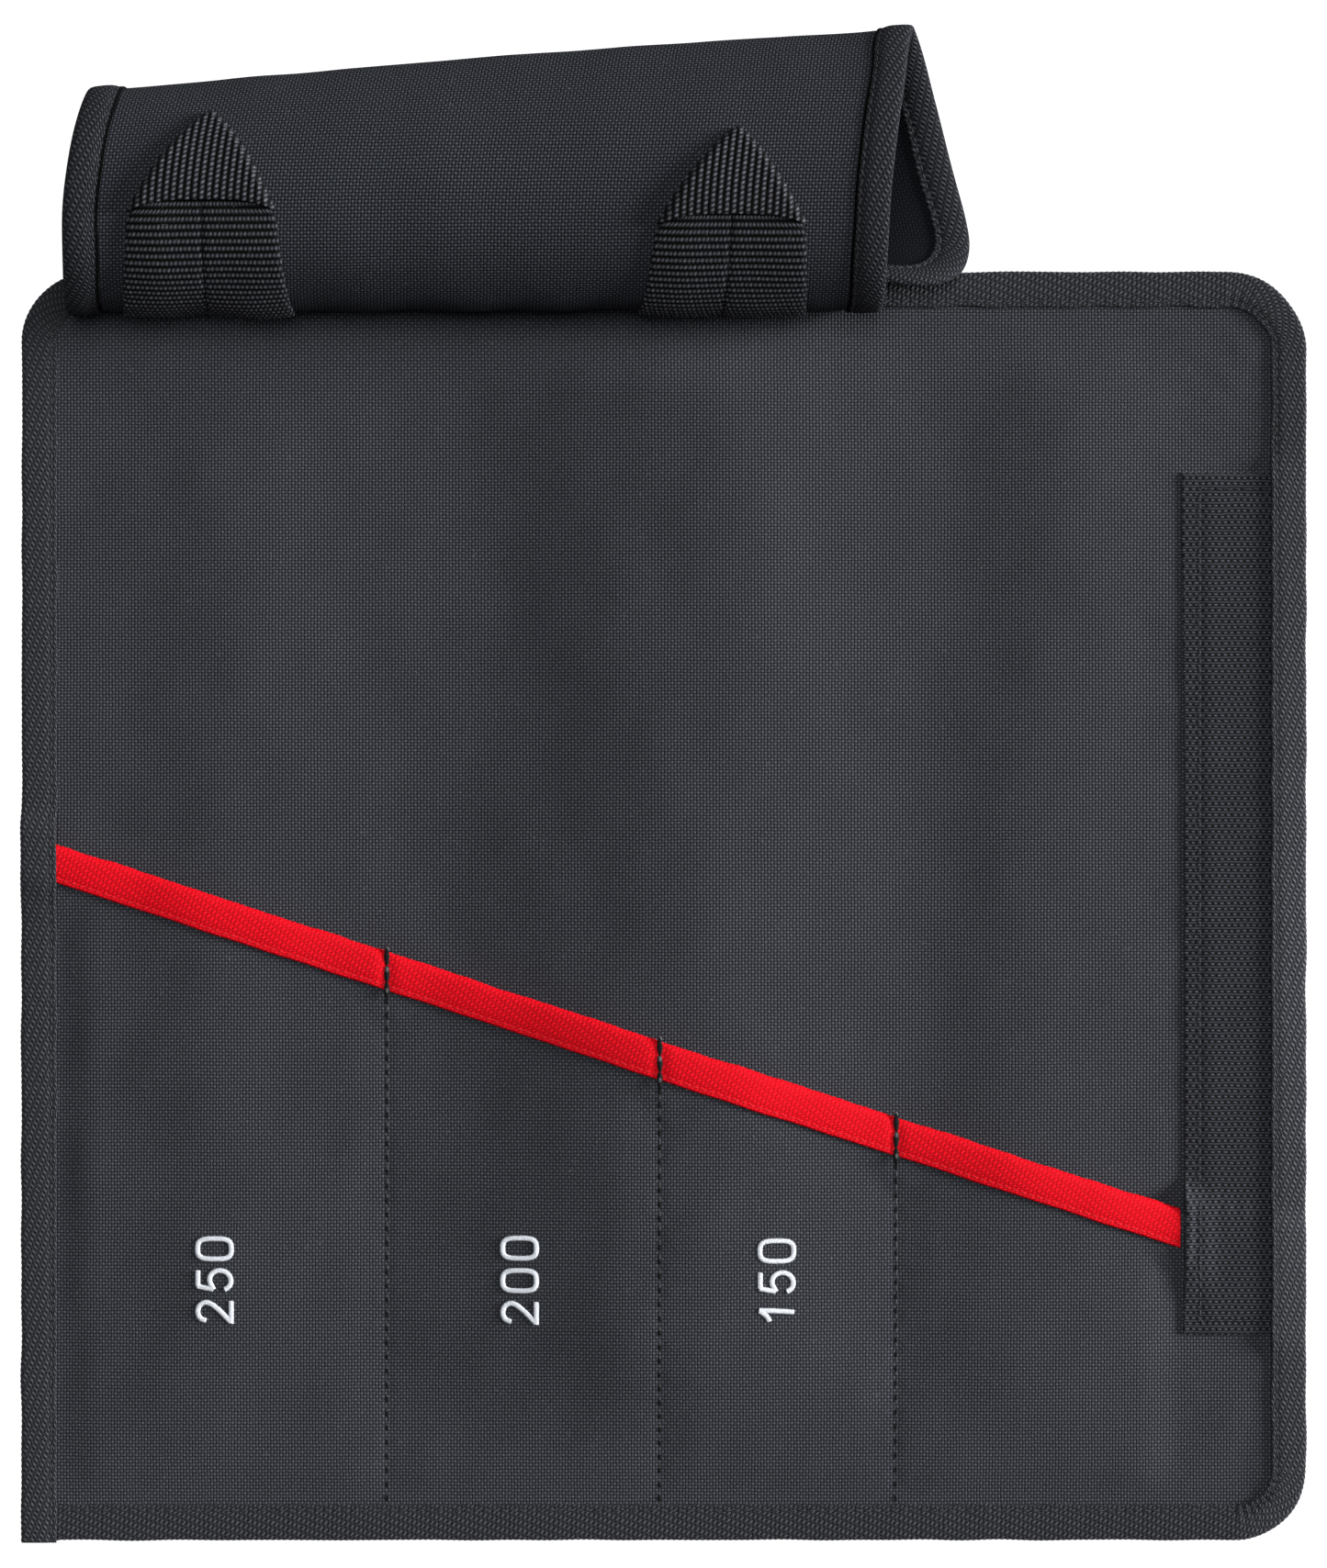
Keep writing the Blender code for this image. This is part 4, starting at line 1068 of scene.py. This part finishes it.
def edge_path(step):
    """Stations round the panel, anticlockwise from bottom left: place, inward direction, length."""
    pieces = []

    def straight(first, last, inward):
        first, last = np.array(first), np.array(last)
        share = even(0, 1, step / np.linalg.norm(last - first))[:-1, None]
        places = first + (last - first) * share
        pieces.append(np.hstack([places, np.broadcast_to(inward, places.shape)]))

    def corner(x, y, radius, start):
        angle = start + even(0, math.pi / 2, step / radius)[:-1]
        out = joined(np.cos(angle), np.sin(angle))
        pieces.append(np.hstack([np.array([x, y]) + radius * out, -out]))

    low = CORNER_BOTTOM_RIGHT
    top_right, top_left = CORNER_TOP_RIGHT, CORNER_TOP_LEFT
    straight((-HALF_WIDTH + TAPE_WIDTH - 2 * MM, 0.0), (HALF_WIDTH - low, 0.0), (0.0, 1.0))
    corner(HALF_WIDTH - low, low, low, -math.pi / 2)
    straight((HALF_WIDTH, low), (HALF_WIDTH, PANEL_HEIGHT - top_right), (-1.0, 0.0))
    corner(HALF_WIDTH - top_right, PANEL_HEIGHT - top_right, top_right, 0.0)
    straight((HALF_WIDTH - top_right, PANEL_HEIGHT), (-HALF_WIDTH + top_left, PANEL_HEIGHT), (0.0, -1.0))
    corner(-HALF_WIDTH + top_left, PANEL_HEIGHT - top_left, top_left, math.pi / 2)
    straight((-HALF_WIDTH, PANEL_HEIGHT - top_left), (-HALF_WIDTH, -TAPE_END_OVERRUN), (1.0, 0.0))
    pieces.append(np.array([[-HALF_WIDTH, -TAPE_END_OVERRUN, 1.0, 0.0]]))
    path = np.vstack(pieces)
    return path, running_length(path[:, :2])


# The tape's front from its inner edge to the fold: depth from the fold, and height above what it lies on.
TAPE_FRONT = (
    (11.0, 0.05), (11.05, 0.35), (10.9, 0.66), (10.5, 0.82), (9.9, 0.76), (9.3, 0.56),
    (8.7, 0.84), (7.9, 1.00), (7.0, 1.06), (6.0, 1.09), (5.0, 1.10), (4.0, 1.10),
    (3.0, 1.09), (2.1, 1.08), (1.4, 1.05), (0.8, 0.96), (0.35, 0.74),
)


def tape_puckers(length, corner_share):
    """Small gathers along a folded tape, deeper round the corners."""
    fine = np.sin(2 * math.pi * length / (3.4 * MM) + 2.0 * uneven_line(length, 30 * MM, 51))
    slow = uneven_line(length, 11 * MM, 52)
    return (0.035 + 0.26 * corner_share) * MM * fine + 0.06 * MM * slow


def corner_shares(inward_x, inward_y, length, radius, reach):
    """1 where a tape goes round a corner of this radius or less, 0 on its straight runs."""
    turn = np.abs(np.gradient(np.unwrap(np.arctan2(inward_y, inward_x)), length))
    return blurred(np.minimum(1.0, turn * radius), reach)


def edge_tape():
    """The folded binding round the panel, as one long bar with its two lips."""
    path, length = edge_path(0.88 * MM)
    x, y, inward_x, inward_y = path.T
    corner_share = corner_shares(inward_x, inward_y, length, 20 * MM, 4)
    front = np.array(TAPE_FRONT)
    depths = front[:, 0] * MM
    stitch_at = int(np.argmin(np.abs(depths - TAPE_STITCH_DEPTH)))
    wobble = 0.22 * MM * uneven_line(length, 17 * MM, 53) + 0.10 * MM * uneven_line(length, 5 * MM, 54)
    outer = 0.16 * MM * uneven_line(length, 21 * MM, 55) + 0.09 * MM * (-1.0) ** np.arange(len(length))
    place_x = x[:, None] + inward_x[:, None] * depths
    place_y = y[:, None] + inward_y[:, None] * depths
    lie = over(place_x, np.maximum(place_y, 0.2 * MM), 1.2 * MM, True) - GAP
    lie = blurred(highest_near(lie, 3), 5)
    lie = blurred(np.maximum.accumulate(lie[:, ::-1], axis=1)[:, ::-1].T, 2).T
    # The last of the left side lies over the start of the bottom one.
    overlap = ease((x + HALF_WIDTH < 1 * MM) * (15 * MM - y) / (6 * MM)) * 0.8 * MM
    gather = tape_puckers(length, corner_share)
    share = (depths / TAPE_WIDTH) ** 1.5
    height = front[:, 1][None, :] * MM + gather[:, None] * share
    z = lie + TAPE_REST + height + overlap[:, None]
    # On the right the stack under the tape is pressed down towards the fold.
    stack = np.clip(lie[:, :1] - 3.0 * MM, 0.0, 3.0 * MM) * ease(-inward_x)[:, None]
    z = z - 1.1 * stack * (1 - depths / TAPE_WIDTH)[None, :]
    depth = depths[None, :] + wobble[:, None] * ease((depths - 8 * MM) / (3 * MM))
    depth = depth + outer[:, None] * (1 - share)

    def level(value):
        return np.full_like(outer, value)

    # The fold itself, the back's outer face and then its inner one, up to the front's.
    fold_top = z[:, -1] - 0.55 * MM
    fold = []
    for d, drop in ((0.05, 0.0), (-0.05, 0.35), (-0.08, 0.65), (-0.02, 0.88)):
        fold.append((d * MM + outer, fold_top * (1 - drop) + 0.35 * MM * drop))
    back = (
        (0.3, 0.28), (1.0, 0.06), (2.4, 0.0), (5.5, 0.0), (8.6, 0.05), (9.3, 0.28), (9.9, 0.05), (10.7, 0.05),
    )
    below = [(d * MM + outer, level(h * MM)) for d, h in back]
    below.append((level(11.0 * MM), level(0.3 * MM)))
    below.append((level(10.8 * MM), level(TAPE)))
    below.append((level(1.1 * MM) + outer, level(TAPE + 0.1 * MM)))
    below.append((level(1.1 * MM) + outer, np.maximum(z[:, 12] - TAPE - 0.3 * MM, 1.2 * MM)))
    below.append((depth[:, 5], z[:, 5] - 0.42 * MM))
    all_depths = np.concatenate([depth, np.stack([d for d, _ in fold + below], axis=1)], axis=1)
    heights = np.concatenate([z, np.stack([h for _, h in fold + below], axis=1)], axis=1)
    ring_x = x[:, None] + inward_x[:, None] * all_depths
    ring_y = y[:, None] + inward_y[:, None] * all_depths
    rings = joined(ring_x, ring_y, heights)
    piece = swept_piece("edge_tape", rings, ring_uvs(rings, length, 11 * MM), BLACK_TAPE)
    stitch_path = rings[:, stitch_at] + (0.0, 0.0, 0.12 * MM)
    under_path = rings[:, len(depths) + len(fold) + 5] + (0.0, 0.0, -0.06 * MM)
    return piece, [(stitch_path[6:-4], UP)], [(under_path[6:-4], DOWN)]


def ring_uvs(rings, length, first):
    """UV in metres: along the sweep, and down the section from the inner edge."""
    closed = np.concatenate([rings, rings[:, :1]], axis=1)
    steps = np.linalg.norm(np.diff(closed, axis=1), axis=2).mean(axis=0)
    down = first - np.concatenate([[0.0], np.cumsum(steps)])
    return joined(*np.meshgrid(length, down, indexing="ij"))


def mouth_tape():
    """The red folded tape over the slanted mouth."""
    first = -HALF_WIDTH + INSET
    last = STRIP_LEFT - GAP
    x = even(first, last, 0.7 * MM)
    length = (x - first) / MOUTH_COS
    pulled = sum(hump(x, seam, 2.2 * MM) for seam in SEAMS)
    scallop = 0.16 * MM * uneven_line(x, 9 * MM, 61) + 0.10 * MM * uneven_line(x, 30 * MM, 62)
    scallop = scallop + 0.15 * MM * np.abs(np.sin(math.pi * length / (2.1 * MM)))
    lower = 0.14 * MM * uneven_line(x, 16 * MM, 63)
    front = POCKET_SLACK + POCKET_THICK + GAP
    wall = front + TAPE_THICK
    width = MOUTH_TAPE_WIDTH
    # Depth below the fold, height over the panel, how much of a seam's pull reaches it, and which edge's
    # unevenness it has: the lower one's above 0, the fold's below.
    section = (
        (width, front - 0.12 * MM, 0.6, 1.0),
        (width + 0.05 * MM, front + 0.3 * MM, 0.6, 1.0),
        (width - 0.15 * MM, front + 0.68 * MM, 0.7, 1.0),
        (width - 0.7 * MM, front + 0.78 * MM, 0.8, 1.0),
        (width - 1.4 * MM, front + 0.62 * MM, 0.8, 0.6),
        (width - 2.2 * MM, front + 0.86 * MM, 1.0, 0.3),
        (width * 0.66, wall, 1.0, 0.0),
        (width * 0.45, wall + 0.06 * MM, 1.0, 0.0),
        (width * 0.27, wall + 0.03 * MM, 1.0, 0.0),
        (width * 0.14, wall - 0.1 * MM, 1.0, -0.5),
        (0.75 * MM, front + 0.55 * MM, 0.9, -1.0),
        (0.25 * MM, front - 0.1 * MM, 0.6, -1.0),
        (0.0, front - 0.9 * MM, 0.3, -1.0),
        (0.05 * MM, 1.5 * MM, 0.0, -1.0),
        (0.35 * MM, 0.9 * MM, 0.0, -1.0),
        (1.1 * MM, GAP + 0.12 * MM, 0.0, 0.0),
        (width * 0.5, GAP, 0.0, 0.0),
        (width, GAP, 0.0, 0.0),
        (width, GAP + 0.7 * MM, 0.0, 0.0),
        (1.4 * MM, GAP + 0.9 * MM, 0.0, 0.0),
        (1.4 * MM, front - 0.1 * MM, 0.3, 0.0),
    )
    rings = []
    for depth, height, pull, side in section:
        depth = depth + (lower * side if side > 0 else scallop * -side)
        y = mouth(x) - depth / MOUTH_COS
        puff = 0.10 * MM * uneven(x, y, 26 * MM, 64) * pull
        z = panel_top(x, y) + height - 0.42 * MM * pull * pulled + puff
        rings.append(joined(x, y, z))
    rings = np.stack(rings, axis=1)[::-1]
    uvs = ring_uvs(rings, length[::-1], width)
    # The cut ends are upright, so the weave is sheared back along the tape.
    uvs[..., 0] -= np.concatenate([rings[..., 1], rings[:, :1, 1]], axis=1) * MOUTH_DROP * MOUTH_COS
    piece = swept_piece("mouth_tape", rings, uvs, RED_TAPE)
    sewn_row = rings[:, 4][::-1] + (0.0, 0.0, 0.05 * MM)
    return piece, [(sewn_row[4:-3], UP)]


def seam_runs(shift):
    """Paths of the three seams: over the red tape, down the pocket cloth, and on the panel's back."""
    on_tape, on_cloth, behind = [], [], []
    for seam in SEAMS:
        top = mouth(seam)
        y = even(top + 0.4 * MM - shift, top - MOUTH_TAPE_WIDTH / MOUTH_COS, 0.5 * MM)
        x = np.full_like(y, seam)
        z = panel_top(x, y) + POCKET_SLACK + POCKET_THICK + GAP + TAPE_THICK - 0.22 * MM
        z = np.where(y > top - 0.8 * MM, z - 0.7 * MM, z)
        on_tape.append((joined(x, y, z), UP))
        y = even(top - (MOUTH_TAPE_WIDTH + 1.2 * MM) / MOUTH_COS - shift, TAPE_WIDTH + 2 * MM, 1 * MM)
        x = np.full_like(y, seam)
        z = pocket_bottom(x, y) + POCKET_THICK + pocket_detail(x, y)
        on_cloth.append((joined(x, y, z), UP))
        z = panel_top(x, y) - CLOTH - 0.05 * MM
        behind.append((joined(x, y, z), DOWN))
    return on_tape, on_cloth, behind


def flap_cloth():
    end = FLAP_LENGTH - FLAP_CORNER
    along = np.concatenate([
        even(0, end, 1.6 * MM)[:-1],
        end + (FLAP_CORNER - INSET) * np.sin(np.linspace(0, math.pi / 2, 12)),
    ])
    share = np.linspace(0, 1, 86)
    pull = corner_pull(FLAP_CORNER - INSET, along - end)
    across = (INSET + pull)[:, None] + (FLAP_WIDTH - 2 * INSET - 2 * pull)[:, None] * share[None, :]
    along = np.repeat(along[:, None], len(share), axis=1)
    tops = flap_points(across, along, np.full_like(across, CLOTH / 2))
    bottoms = flap_points(across, along, np.full_like(across, -CLOTH / 2))
    return sheet_piece("flap_cloth", tops, bottoms, joined(across, along), FLAP_CLOTH, INSIDE_SHADE_BACK)


def flap_path(step):
    """Stations round the flap in its own flat plane: left side, free end and right side."""
    end = FLAP_LENGTH - FLAP_CORNER
    left = even(0, end, step)
    path = [joined(left * 0, left, left * 0 + 1, left * 0)]
    angle = np.linspace(0, math.pi / 2, 22)[1:-1]
    cos, sin = np.cos(angle), np.sin(angle)
    path.append(joined(FLAP_CORNER * (1 - cos), end + FLAP_CORNER * sin, cos, -sin))
    across = even(FLAP_CORNER, FLAP_WIDTH - FLAP_CORNER, 2 * MM)
    path.append(joined(across, across * 0 + FLAP_LENGTH, across * 0, across * 0 - 1))
    cos, sin = cos[::-1], sin[::-1]
    path.append(joined(FLAP_WIDTH - FLAP_CORNER * (1 - cos), end + FLAP_CORNER * sin, -cos, -sin))
    right = left[::-1]
    path.append(joined(right * 0 + FLAP_WIDTH, right, right * 0 - 1, right * 0))
    path = np.vstack(path)
    return path, running_length(path[:, :2])


# The flap tape's section, from its underside up: depth from the fold, and height off the middle layer.
FLAP_TAPE_ROWS = (
    (11.0, -0.62), (11.0, -1.05), (10.6, -1.32), (9.9, -1.25), (9.3, -1.02), (8.7, -1.30),
    (7.0, -1.62), (4.8, -1.72), (2.6, -1.62), (1.2, -1.25), (0.4, -0.75), (0.0, -0.25),
    (0.0, 0.30), (0.15, 1.00), (0.7, 1.48), (2.0, 1.76), (3.8, 1.84), (5.4, 1.86),
    (7.0, 1.76), (8.2, 1.52), (8.8, 1.28), (9.3, 1.02), (9.9, 1.14), (10.5, 1.10),
    (10.95, 0.86), (11.0, 0.60), (9.3, 0.55), (1.1, 0.62), (1.1, -0.62), (9.3, -0.55),
)


def flap_tape():
    path, length = flap_path(1.15 * MM)
    across, along, inward_across, inward_along = path.T
    rows = np.array(FLAP_TAPE_ROWS) * MM
    corner_share = corner_shares(inward_across, inward_along, length, 16 * MM, 3)
    gather = tape_puckers(length, corner_share)
    near_hem = hump(along, 10 * MM, 12 * MM)
    gather = gather + 0.22 * MM * near_hem * np.sin(2 * math.pi * length / (5.2 * MM))
    wobble = 0.20 * MM * uneven_line(length, 19 * MM, 71)
    rings = []
    for depth, out in rows:
        share = (depth / TAPE_WIDTH) ** 1.5
        depth = depth + wobble * (share if depth > 8 * MM else 0.3)
        place_across = across + inward_across * depth
        place_along = np.maximum(0.0, along + inward_along * depth)
        out = out + gather * share * (1.0 if out > 0 else -0.5)
        rings.append(flap_points(place_across, place_along, out))
    rings = np.stack(rings, axis=1)
    uvs = ring_uvs(rings, length, 0.0)
    uvs = np.stack([-uvs[..., 0], -uvs[..., 1] + uvs[:, 11:12, 1]], axis=-1)
    piece = swept_piece("flap_tape", rings, uvs, HEM_TAPE)
    sewn_across = across + inward_across * TAPE_STITCH_DEPTH
    sewn_along = np.maximum(0.0, along + inward_along * TAPE_STITCH_DEPTH)
    _, normal = flap_frame(sewn_across, sewn_along)
    runs = []
    # The stitched rows of the section, outside and inside.
    for row, facing in ((21, normal), (4, -normal)):
        runs.append((rings[2:-2, row] + facing[2:-2] * (0.10 * MM), facing[2:-2]))
    return piece, runs


def webbing_relief(down, run, first):
    """The webbing's ribs and the floats along them, from 0 to 1. first is the number of the rib at 0."""
    rib = np.abs(np.sin(math.pi * down / WEB_ROW)) ** 0.8
    number = np.floor(down / WEB_ROW) + first
    return rib, np.abs(np.sin(math.pi * (run / WEB_DOT + 0.4 * number)))


def webbing_loop(name, place):
    """Webbing laid up, across and down again: two ribbed legs under a folded tip."""
    base, tip = place["base"], place["tip"]
    low = SHEET_THICK / 2 + 0.05 * MM
    along = np.concatenate([even(LOOP_FOOT, base - 0.2 * MM, 0.40 * MM), [base + 0.5 * MM]])
    legs = []
    for side in (0, 1):
        share = np.clip((along - LOOP_FOOT) / (base - LOOP_FOOT), 0, 1)
        left = place["foot"][0] + (place["under_tip"][0] - place["foot"][0]) * share
        right = place["foot"][1] + (place["under_tip"][1] - place["foot"][1]) * share
        middle = (left + right) / 2
        # Under the fold the outer edges turn in.
        turn_in = 3.0 * MM * ease((along - base + 9 * MM) / (9 * MM)) ** 2
        if side == 0:
            first, last = left + turn_in, middle - LOOP_SLIT / 4
        else:
            first, last = middle + LOOP_SLIT / 4, right - turn_in
        column = even(0, 1, 0.40 * MM / (26 * MM))
        across = first[:, None] + (last - first)[:, None] * column
        grid_along = np.repeat(along[:, None], len(column), axis=1)
        flat_across = column[None, :] * WEBBING_WIDTH + 0 * across
        rib, dot = webbing_relief(grid_along, flat_across - 0.31 * WEB_DOT, 0)
        edge = ease(np.minimum(column, 1 - column)[None, :] * WEBBING_WIDTH / (1.4 * MM))
        fade = 1 - ease((grid_along - base + 0.6 * MM) / (1.0 * MM))
        crown = 0.35 * MM * np.sin(math.pi * column)[None, :]
        lift = low + 0.55 * MM + edge * 0.35 * MM + 0.60 * MM * rib * (0.25 + 0.75 * dot) + crown * fade
        lift = lift + 0.25 * MM * uneven(grid_along, flat_across, 24 * MM, 81 + side)
        tops = flap_points(across, grid_along, lift)
        bottoms = flap_points(across, grid_along, np.full_like(across, low))
        uvs = joined(flat_across, grid_along)
        legs.append(sheet_piece(f"{name}_leg_{side + 1}", tops, bottoms, uvs, WEBBING))
    rows = even(0, 1, 0.40 * MM / (tip - base))
    column = even(-1, 1, 0.85 * MM / (22 * MM))
    left, right = place["under_tip"]
    centre = (left + right) / 2
    half = (right - left) / 2 + 0.6 * MM
    narrow = 1 - rows
    middle = place["tip_across"] + (centre - place["tip_across"]) * narrow
    # The folded sides bow out a little and the tip is rounded.
    half_at = half * (narrow**0.93) + 1.3 * MM * np.sin(math.pi * rows) * 0.7 + 0.8 * MM * rows
    droop = 3.4 * MM * np.abs(column) ** 3.5
    across = middle[:, None] + half_at[:, None] * column[None, :]
    grid_along = base + (tip - base) * rows[:, None] - droop[None, :] * (1 - rows[:, None]) ** 2
    near_side = ease((1 - np.abs(column))[None, :] * half_at[:, None] / (2.6 * MM))
    rib, dot = webbing_relief(across - place["tip_across"], grid_along, 20)
    stand = 2.35 * MM * (1 - 0.55 * rows[:, None]) * near_side + 0.25 * MM
    lip = 0.45 * MM * np.exp(-rows[:, None] * (tip - base) / (2.2 * MM))
    lift = low + 0.3 * MM + stand - lip + 0.32 * MM * rib * (0.5 + 0.5 * dot) * near_side
    tops = flap_points(across, grid_along, lift)
    under = low + 0.05 * MM + 1.45 * MM * near_side * (1 - rows[:, None]) ** 0.5
    bottoms = flap_points(across, grid_along, under)
    uvs = joined(grid_along, across - place["tip_across"] + 20 * WEB_ROW)
    folded = sheet_piece(f"{name}_tip", tops, bottoms, uvs, WEBBING)
    return legs, folded


# Strokes of the sewn digits in millimetres, across and up from each digit's lower left corner.
DIGITS = {
    "0": {"width": 8.3, "after": 1.8, "strokes": ()},
    "1": {
        "width": 5.25,
        "after": 3.6,
        "strokes": (((0.9, 8.5), (2.5, 9.5), (3.9, 11.4)), ((4.2, 11.6), (4.0, 6.6), (3.6, 1.0))),
    },
    "2": {
        "width": 8.2,
        "after": 1.8,
        "strokes": (
            (
                (1.5, 9.0), (1.9, 10.3), (3.0, 11.2), (4.5, 11.45),
                (6.1, 10.9), (7.0, 9.6), (7.0, 8.1), (6.2, 6.6),
            ),
            ((6.2, 6.6), (4.6, 4.7), (2.8, 2.9), (1.0, 1.15)),
            ((0.7, 1.05), (4.0, 1.05), (7.4, 1.05)),
        ),
    },
    "5": {
        "width": 7.8,
        "after": 1.8,
        "strokes": (
            ((6.9, 11.4), (4.4, 11.4), (2.2, 11.4)),
            ((2.1, 11.4), (1.6, 9.0), (1.2, 6.7)),
            (
                (1.3, 6.6), (1.9, 6.9), (3.2, 7.6), (4.7, 7.75), (6.1, 7.0), (6.9, 5.6),
                (7.0, 4.2), (6.4, 2.5), (5.0, 1.35), (3.4, 1.15), (2.0, 1.75), (1.2, 3.0),
            ),
        ),
    },
}
CAP_HEIGHT = 12.5
NUMBERS = (
    {"text": "250", "baseline": -133.4 * MM, "start": 67.2 * MM},
    {"text": "200", "baseline": -38.6 * MM, "start": 67.0 * MM},
    {"text": "150", "baseline": 41.2 * MM, "start": 68.0 * MM},
)


def number_runs(text, baseline, start):
    """Centre lines of a number's strokes on the pocket cloth, reading away from the viewer."""
    runs = []
    cursor = 0.0
    for letter in text:
        digit = DIGITS[letter]
        strokes = [smooth_curve(stroke, 12) for stroke in digit["strokes"]]
        if letter == "0":
            angle = np.linspace(0, 2 * math.pi, 73)
            cos, sin = np.cos(angle), np.sin(angle)
            across = np.sign(cos) * np.abs(cos) ** 0.58 * (digit["width"] / 2 - 1.0)
            up = np.sign(sin) * np.abs(sin) ** 0.58 * (CAP_HEIGHT / 2 - 1.0)
            strokes = [joined(across + digit["width"] / 2, up + CAP_HEIGHT / 2)]
        for stroke in strokes:
            x = baseline - stroke[:, 1] * MM
            y = start + (cursor + stroke[:, 0]) * MM
            z = pocket_bottom(x, y) + POCKET_THICK + pocket_detail(x, y) + 0.12 * MM
            runs.append((joined(x, y, z), UP))
        cursor += digit["width"] + digit["after"]
    return runs


def dress():
    """Makes every piece, hangs it on the root body and hides the CAD parts it stands in for."""

    def piece(obj, slot, *nodes):
        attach(obj, "root")
        if nodes:
            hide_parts(*nodes)
        return obj

    panel = piece(panel_cloth(), "cloth", "back_panel")
    pocket = piece(pocket_cloth(), "cloth", "pocket_sheet")
    strip, strip_runs = closure_strip()
    piece(strip, "closure", "closure_strip")
    tape, tape_runs, tape_under_runs = edge_tape()
    piece(tape, "tape", "edge_binding")
    red, red_runs = mouth_tape()
    piece(red, "red_tape", "pocket_binding")
    flap = piece(flap_cloth(), "cloth", "flap")
    hem, hem_runs = flap_tape()
    piece(hem, "tape", "flap_binding")
    for side, place in (("left", LOOP_LEFT), ("right", LOOP_RIGHT)):
        legs, folded = webbing_loop(side + "_loop", place)
        for part in (*legs, folded):
            piece(part, "webbing", "hang_loop_" + side)

    on_tape, on_cloth, behind = seam_runs(0.0)
    # Runs between the stitches, for the painted shade of the needle holes.
    hole_shade_runs_tape, hole_shade_runs_cloth, _ = seam_runs(SEAM_STITCH * MM / 2)
    # Name, slot, runs, thread, then spacing, length, width and height in millimetres, turn, looseness, seed.
    black, grey, hole_shade_thread = BLACK_THREAD, GREY_THREAD, HOLE_SHADE
    rows = [
        ("edge_stitches", "tape", tape_runs, black, (EDGE_STITCH, 2.3, 0.55, 0.42), 0.12, 0.1, 5),
        ("edge_stitches_under", "tape", tape_under_runs, black, (EDGE_STITCH, 2.3, 0.5, 0.3), 0.12, 0.1, 6),
        ("flap_stitches", "tape", hem_runs, black, (EDGE_STITCH, 2.3, 0.55, 0.42), 0.12, 0.1, 7),
        ("mouth_stitches", "red_tape", red_runs, RED_THREAD, (2.6, 2.1, 0.45, 0.34), 0.0, 0.08, 8),
        ("strip_stitches", "closure", strip_runs, black, (2.8, 2.3, 0.5, 0.4), 0.0, 0.1, 9),
        ("seam_stitches_on_tape", "cloth", on_tape, grey, (SEAM_STITCH, 2.6, 1.4, 0.85), 0.0, 0.05, 10),
        ("seam_holes_on_tape", "cloth", hole_shade_runs_tape, hole_shade_thread, (SEAM_STITCH, 6.2, 1.9, 0.70), 0.0, 0.05, 11),
        ("seam_stitches", "cloth", on_cloth, black, (SEAM_STITCH, 2.6, 0.70, 0.36), 0.0, 0.06, 12),
        ("seam_holes", "cloth", hole_shade_runs_cloth, hole_shade_thread, (SEAM_STITCH, 2.2, 1.1, 0.50), 0.0, 0.05, 13),
        ("seam_stitches_behind", "cloth", behind, black, (SEAM_STITCH, 3.2, 0.7, 0.4), 0.0, 0.06, 14),
    ]
    satin = (WHITE_THREAD, (0.30, 1.85, 0.42, 0.60), math.pi / 2 - 0.12, 0.05, 20)
    for row in NUMBERS:
        rows.append(("sewn_" + row["text"], "cloth", number_runs(**row), *satin))
    pieces = [piece(sewn(name, *how), slot) for name, slot, *how in rows]


def studio():
    """A pale floor, soft light mostly from the right and behind, and the camera straight above."""
    material, shader, place = new_material("pale_floor")
    # The floor is seen white, but throws little light back on the slopes of the roll.
    seen = Value(place.tree.nodes.new("ShaderNodeLightPath").outputs["Is Camera Ray"])
    feed(shader.inputs, {
        "Base Color": blended(noise(place, 3.0), (0.20, 0.20, 0.20), (0.23, 0.23, 0.23)),
        "Roughness": 0.9,
        "Specular IOR Level": 0.1,
        "Emission Color": (1.0, 1.0, 1.0, 1.0),
        "Emission Strength": seen * (FLOOR_GLOW - FLOOR_BOUNCE) + FLOOR_BOUNCE,
    })
    mesh = bpy.data.meshes.new("floor")
    corners = ((-1, -1), (1, -1), (1, 1), (-1, 1))
    mesh.from_pydata([(x * FLOOR_REACH, y * FLOOR_REACH, -0.2 * MM) for x, y in corners], [], [(0, 1, 2, 3)])
    mesh.materials.append(material)
    linked("floor", mesh)

    world = bpy.data.worlds.new("studio")
    world.use_nodes = True
    feed(world.node_tree.nodes["Background"].inputs, {0: (0.96, 0.98, 1.0, 1.0), 1: WORLD_LIGHT})
    bpy.context.scene.world = world
    for name, place, softness, power in LIGHTS:
        light = bpy.data.lights.new(name, "SUN")
        light.angle = softness
        light.energy = power
        obj = linked(name, light)
        obj.location = place
        obj.rotation_euler = (-Vector(place)).to_track_quat("-Z", "Y").to_euler()

    camera = bpy.data.cameras.new("camera")
    camera.sensor_fit = "HORIZONTAL"
    camera.sensor_width = 36.0
    camera.lens = 36.0 * (CAMERA_HEIGHT - 3 * MM) / VIEW_WIDTH
    camera.clip_start = 0.05
    camera.clip_end = 20.0
    obj = linked("camera", camera)
    obj.location = (-0.15 * MM, 0.5 * MM, CAMERA_HEIGHT)
    bpy.context.scene.camera = obj
    bpy.context.scene.view_settings.view_transform = "Standard"


dress()
studio()
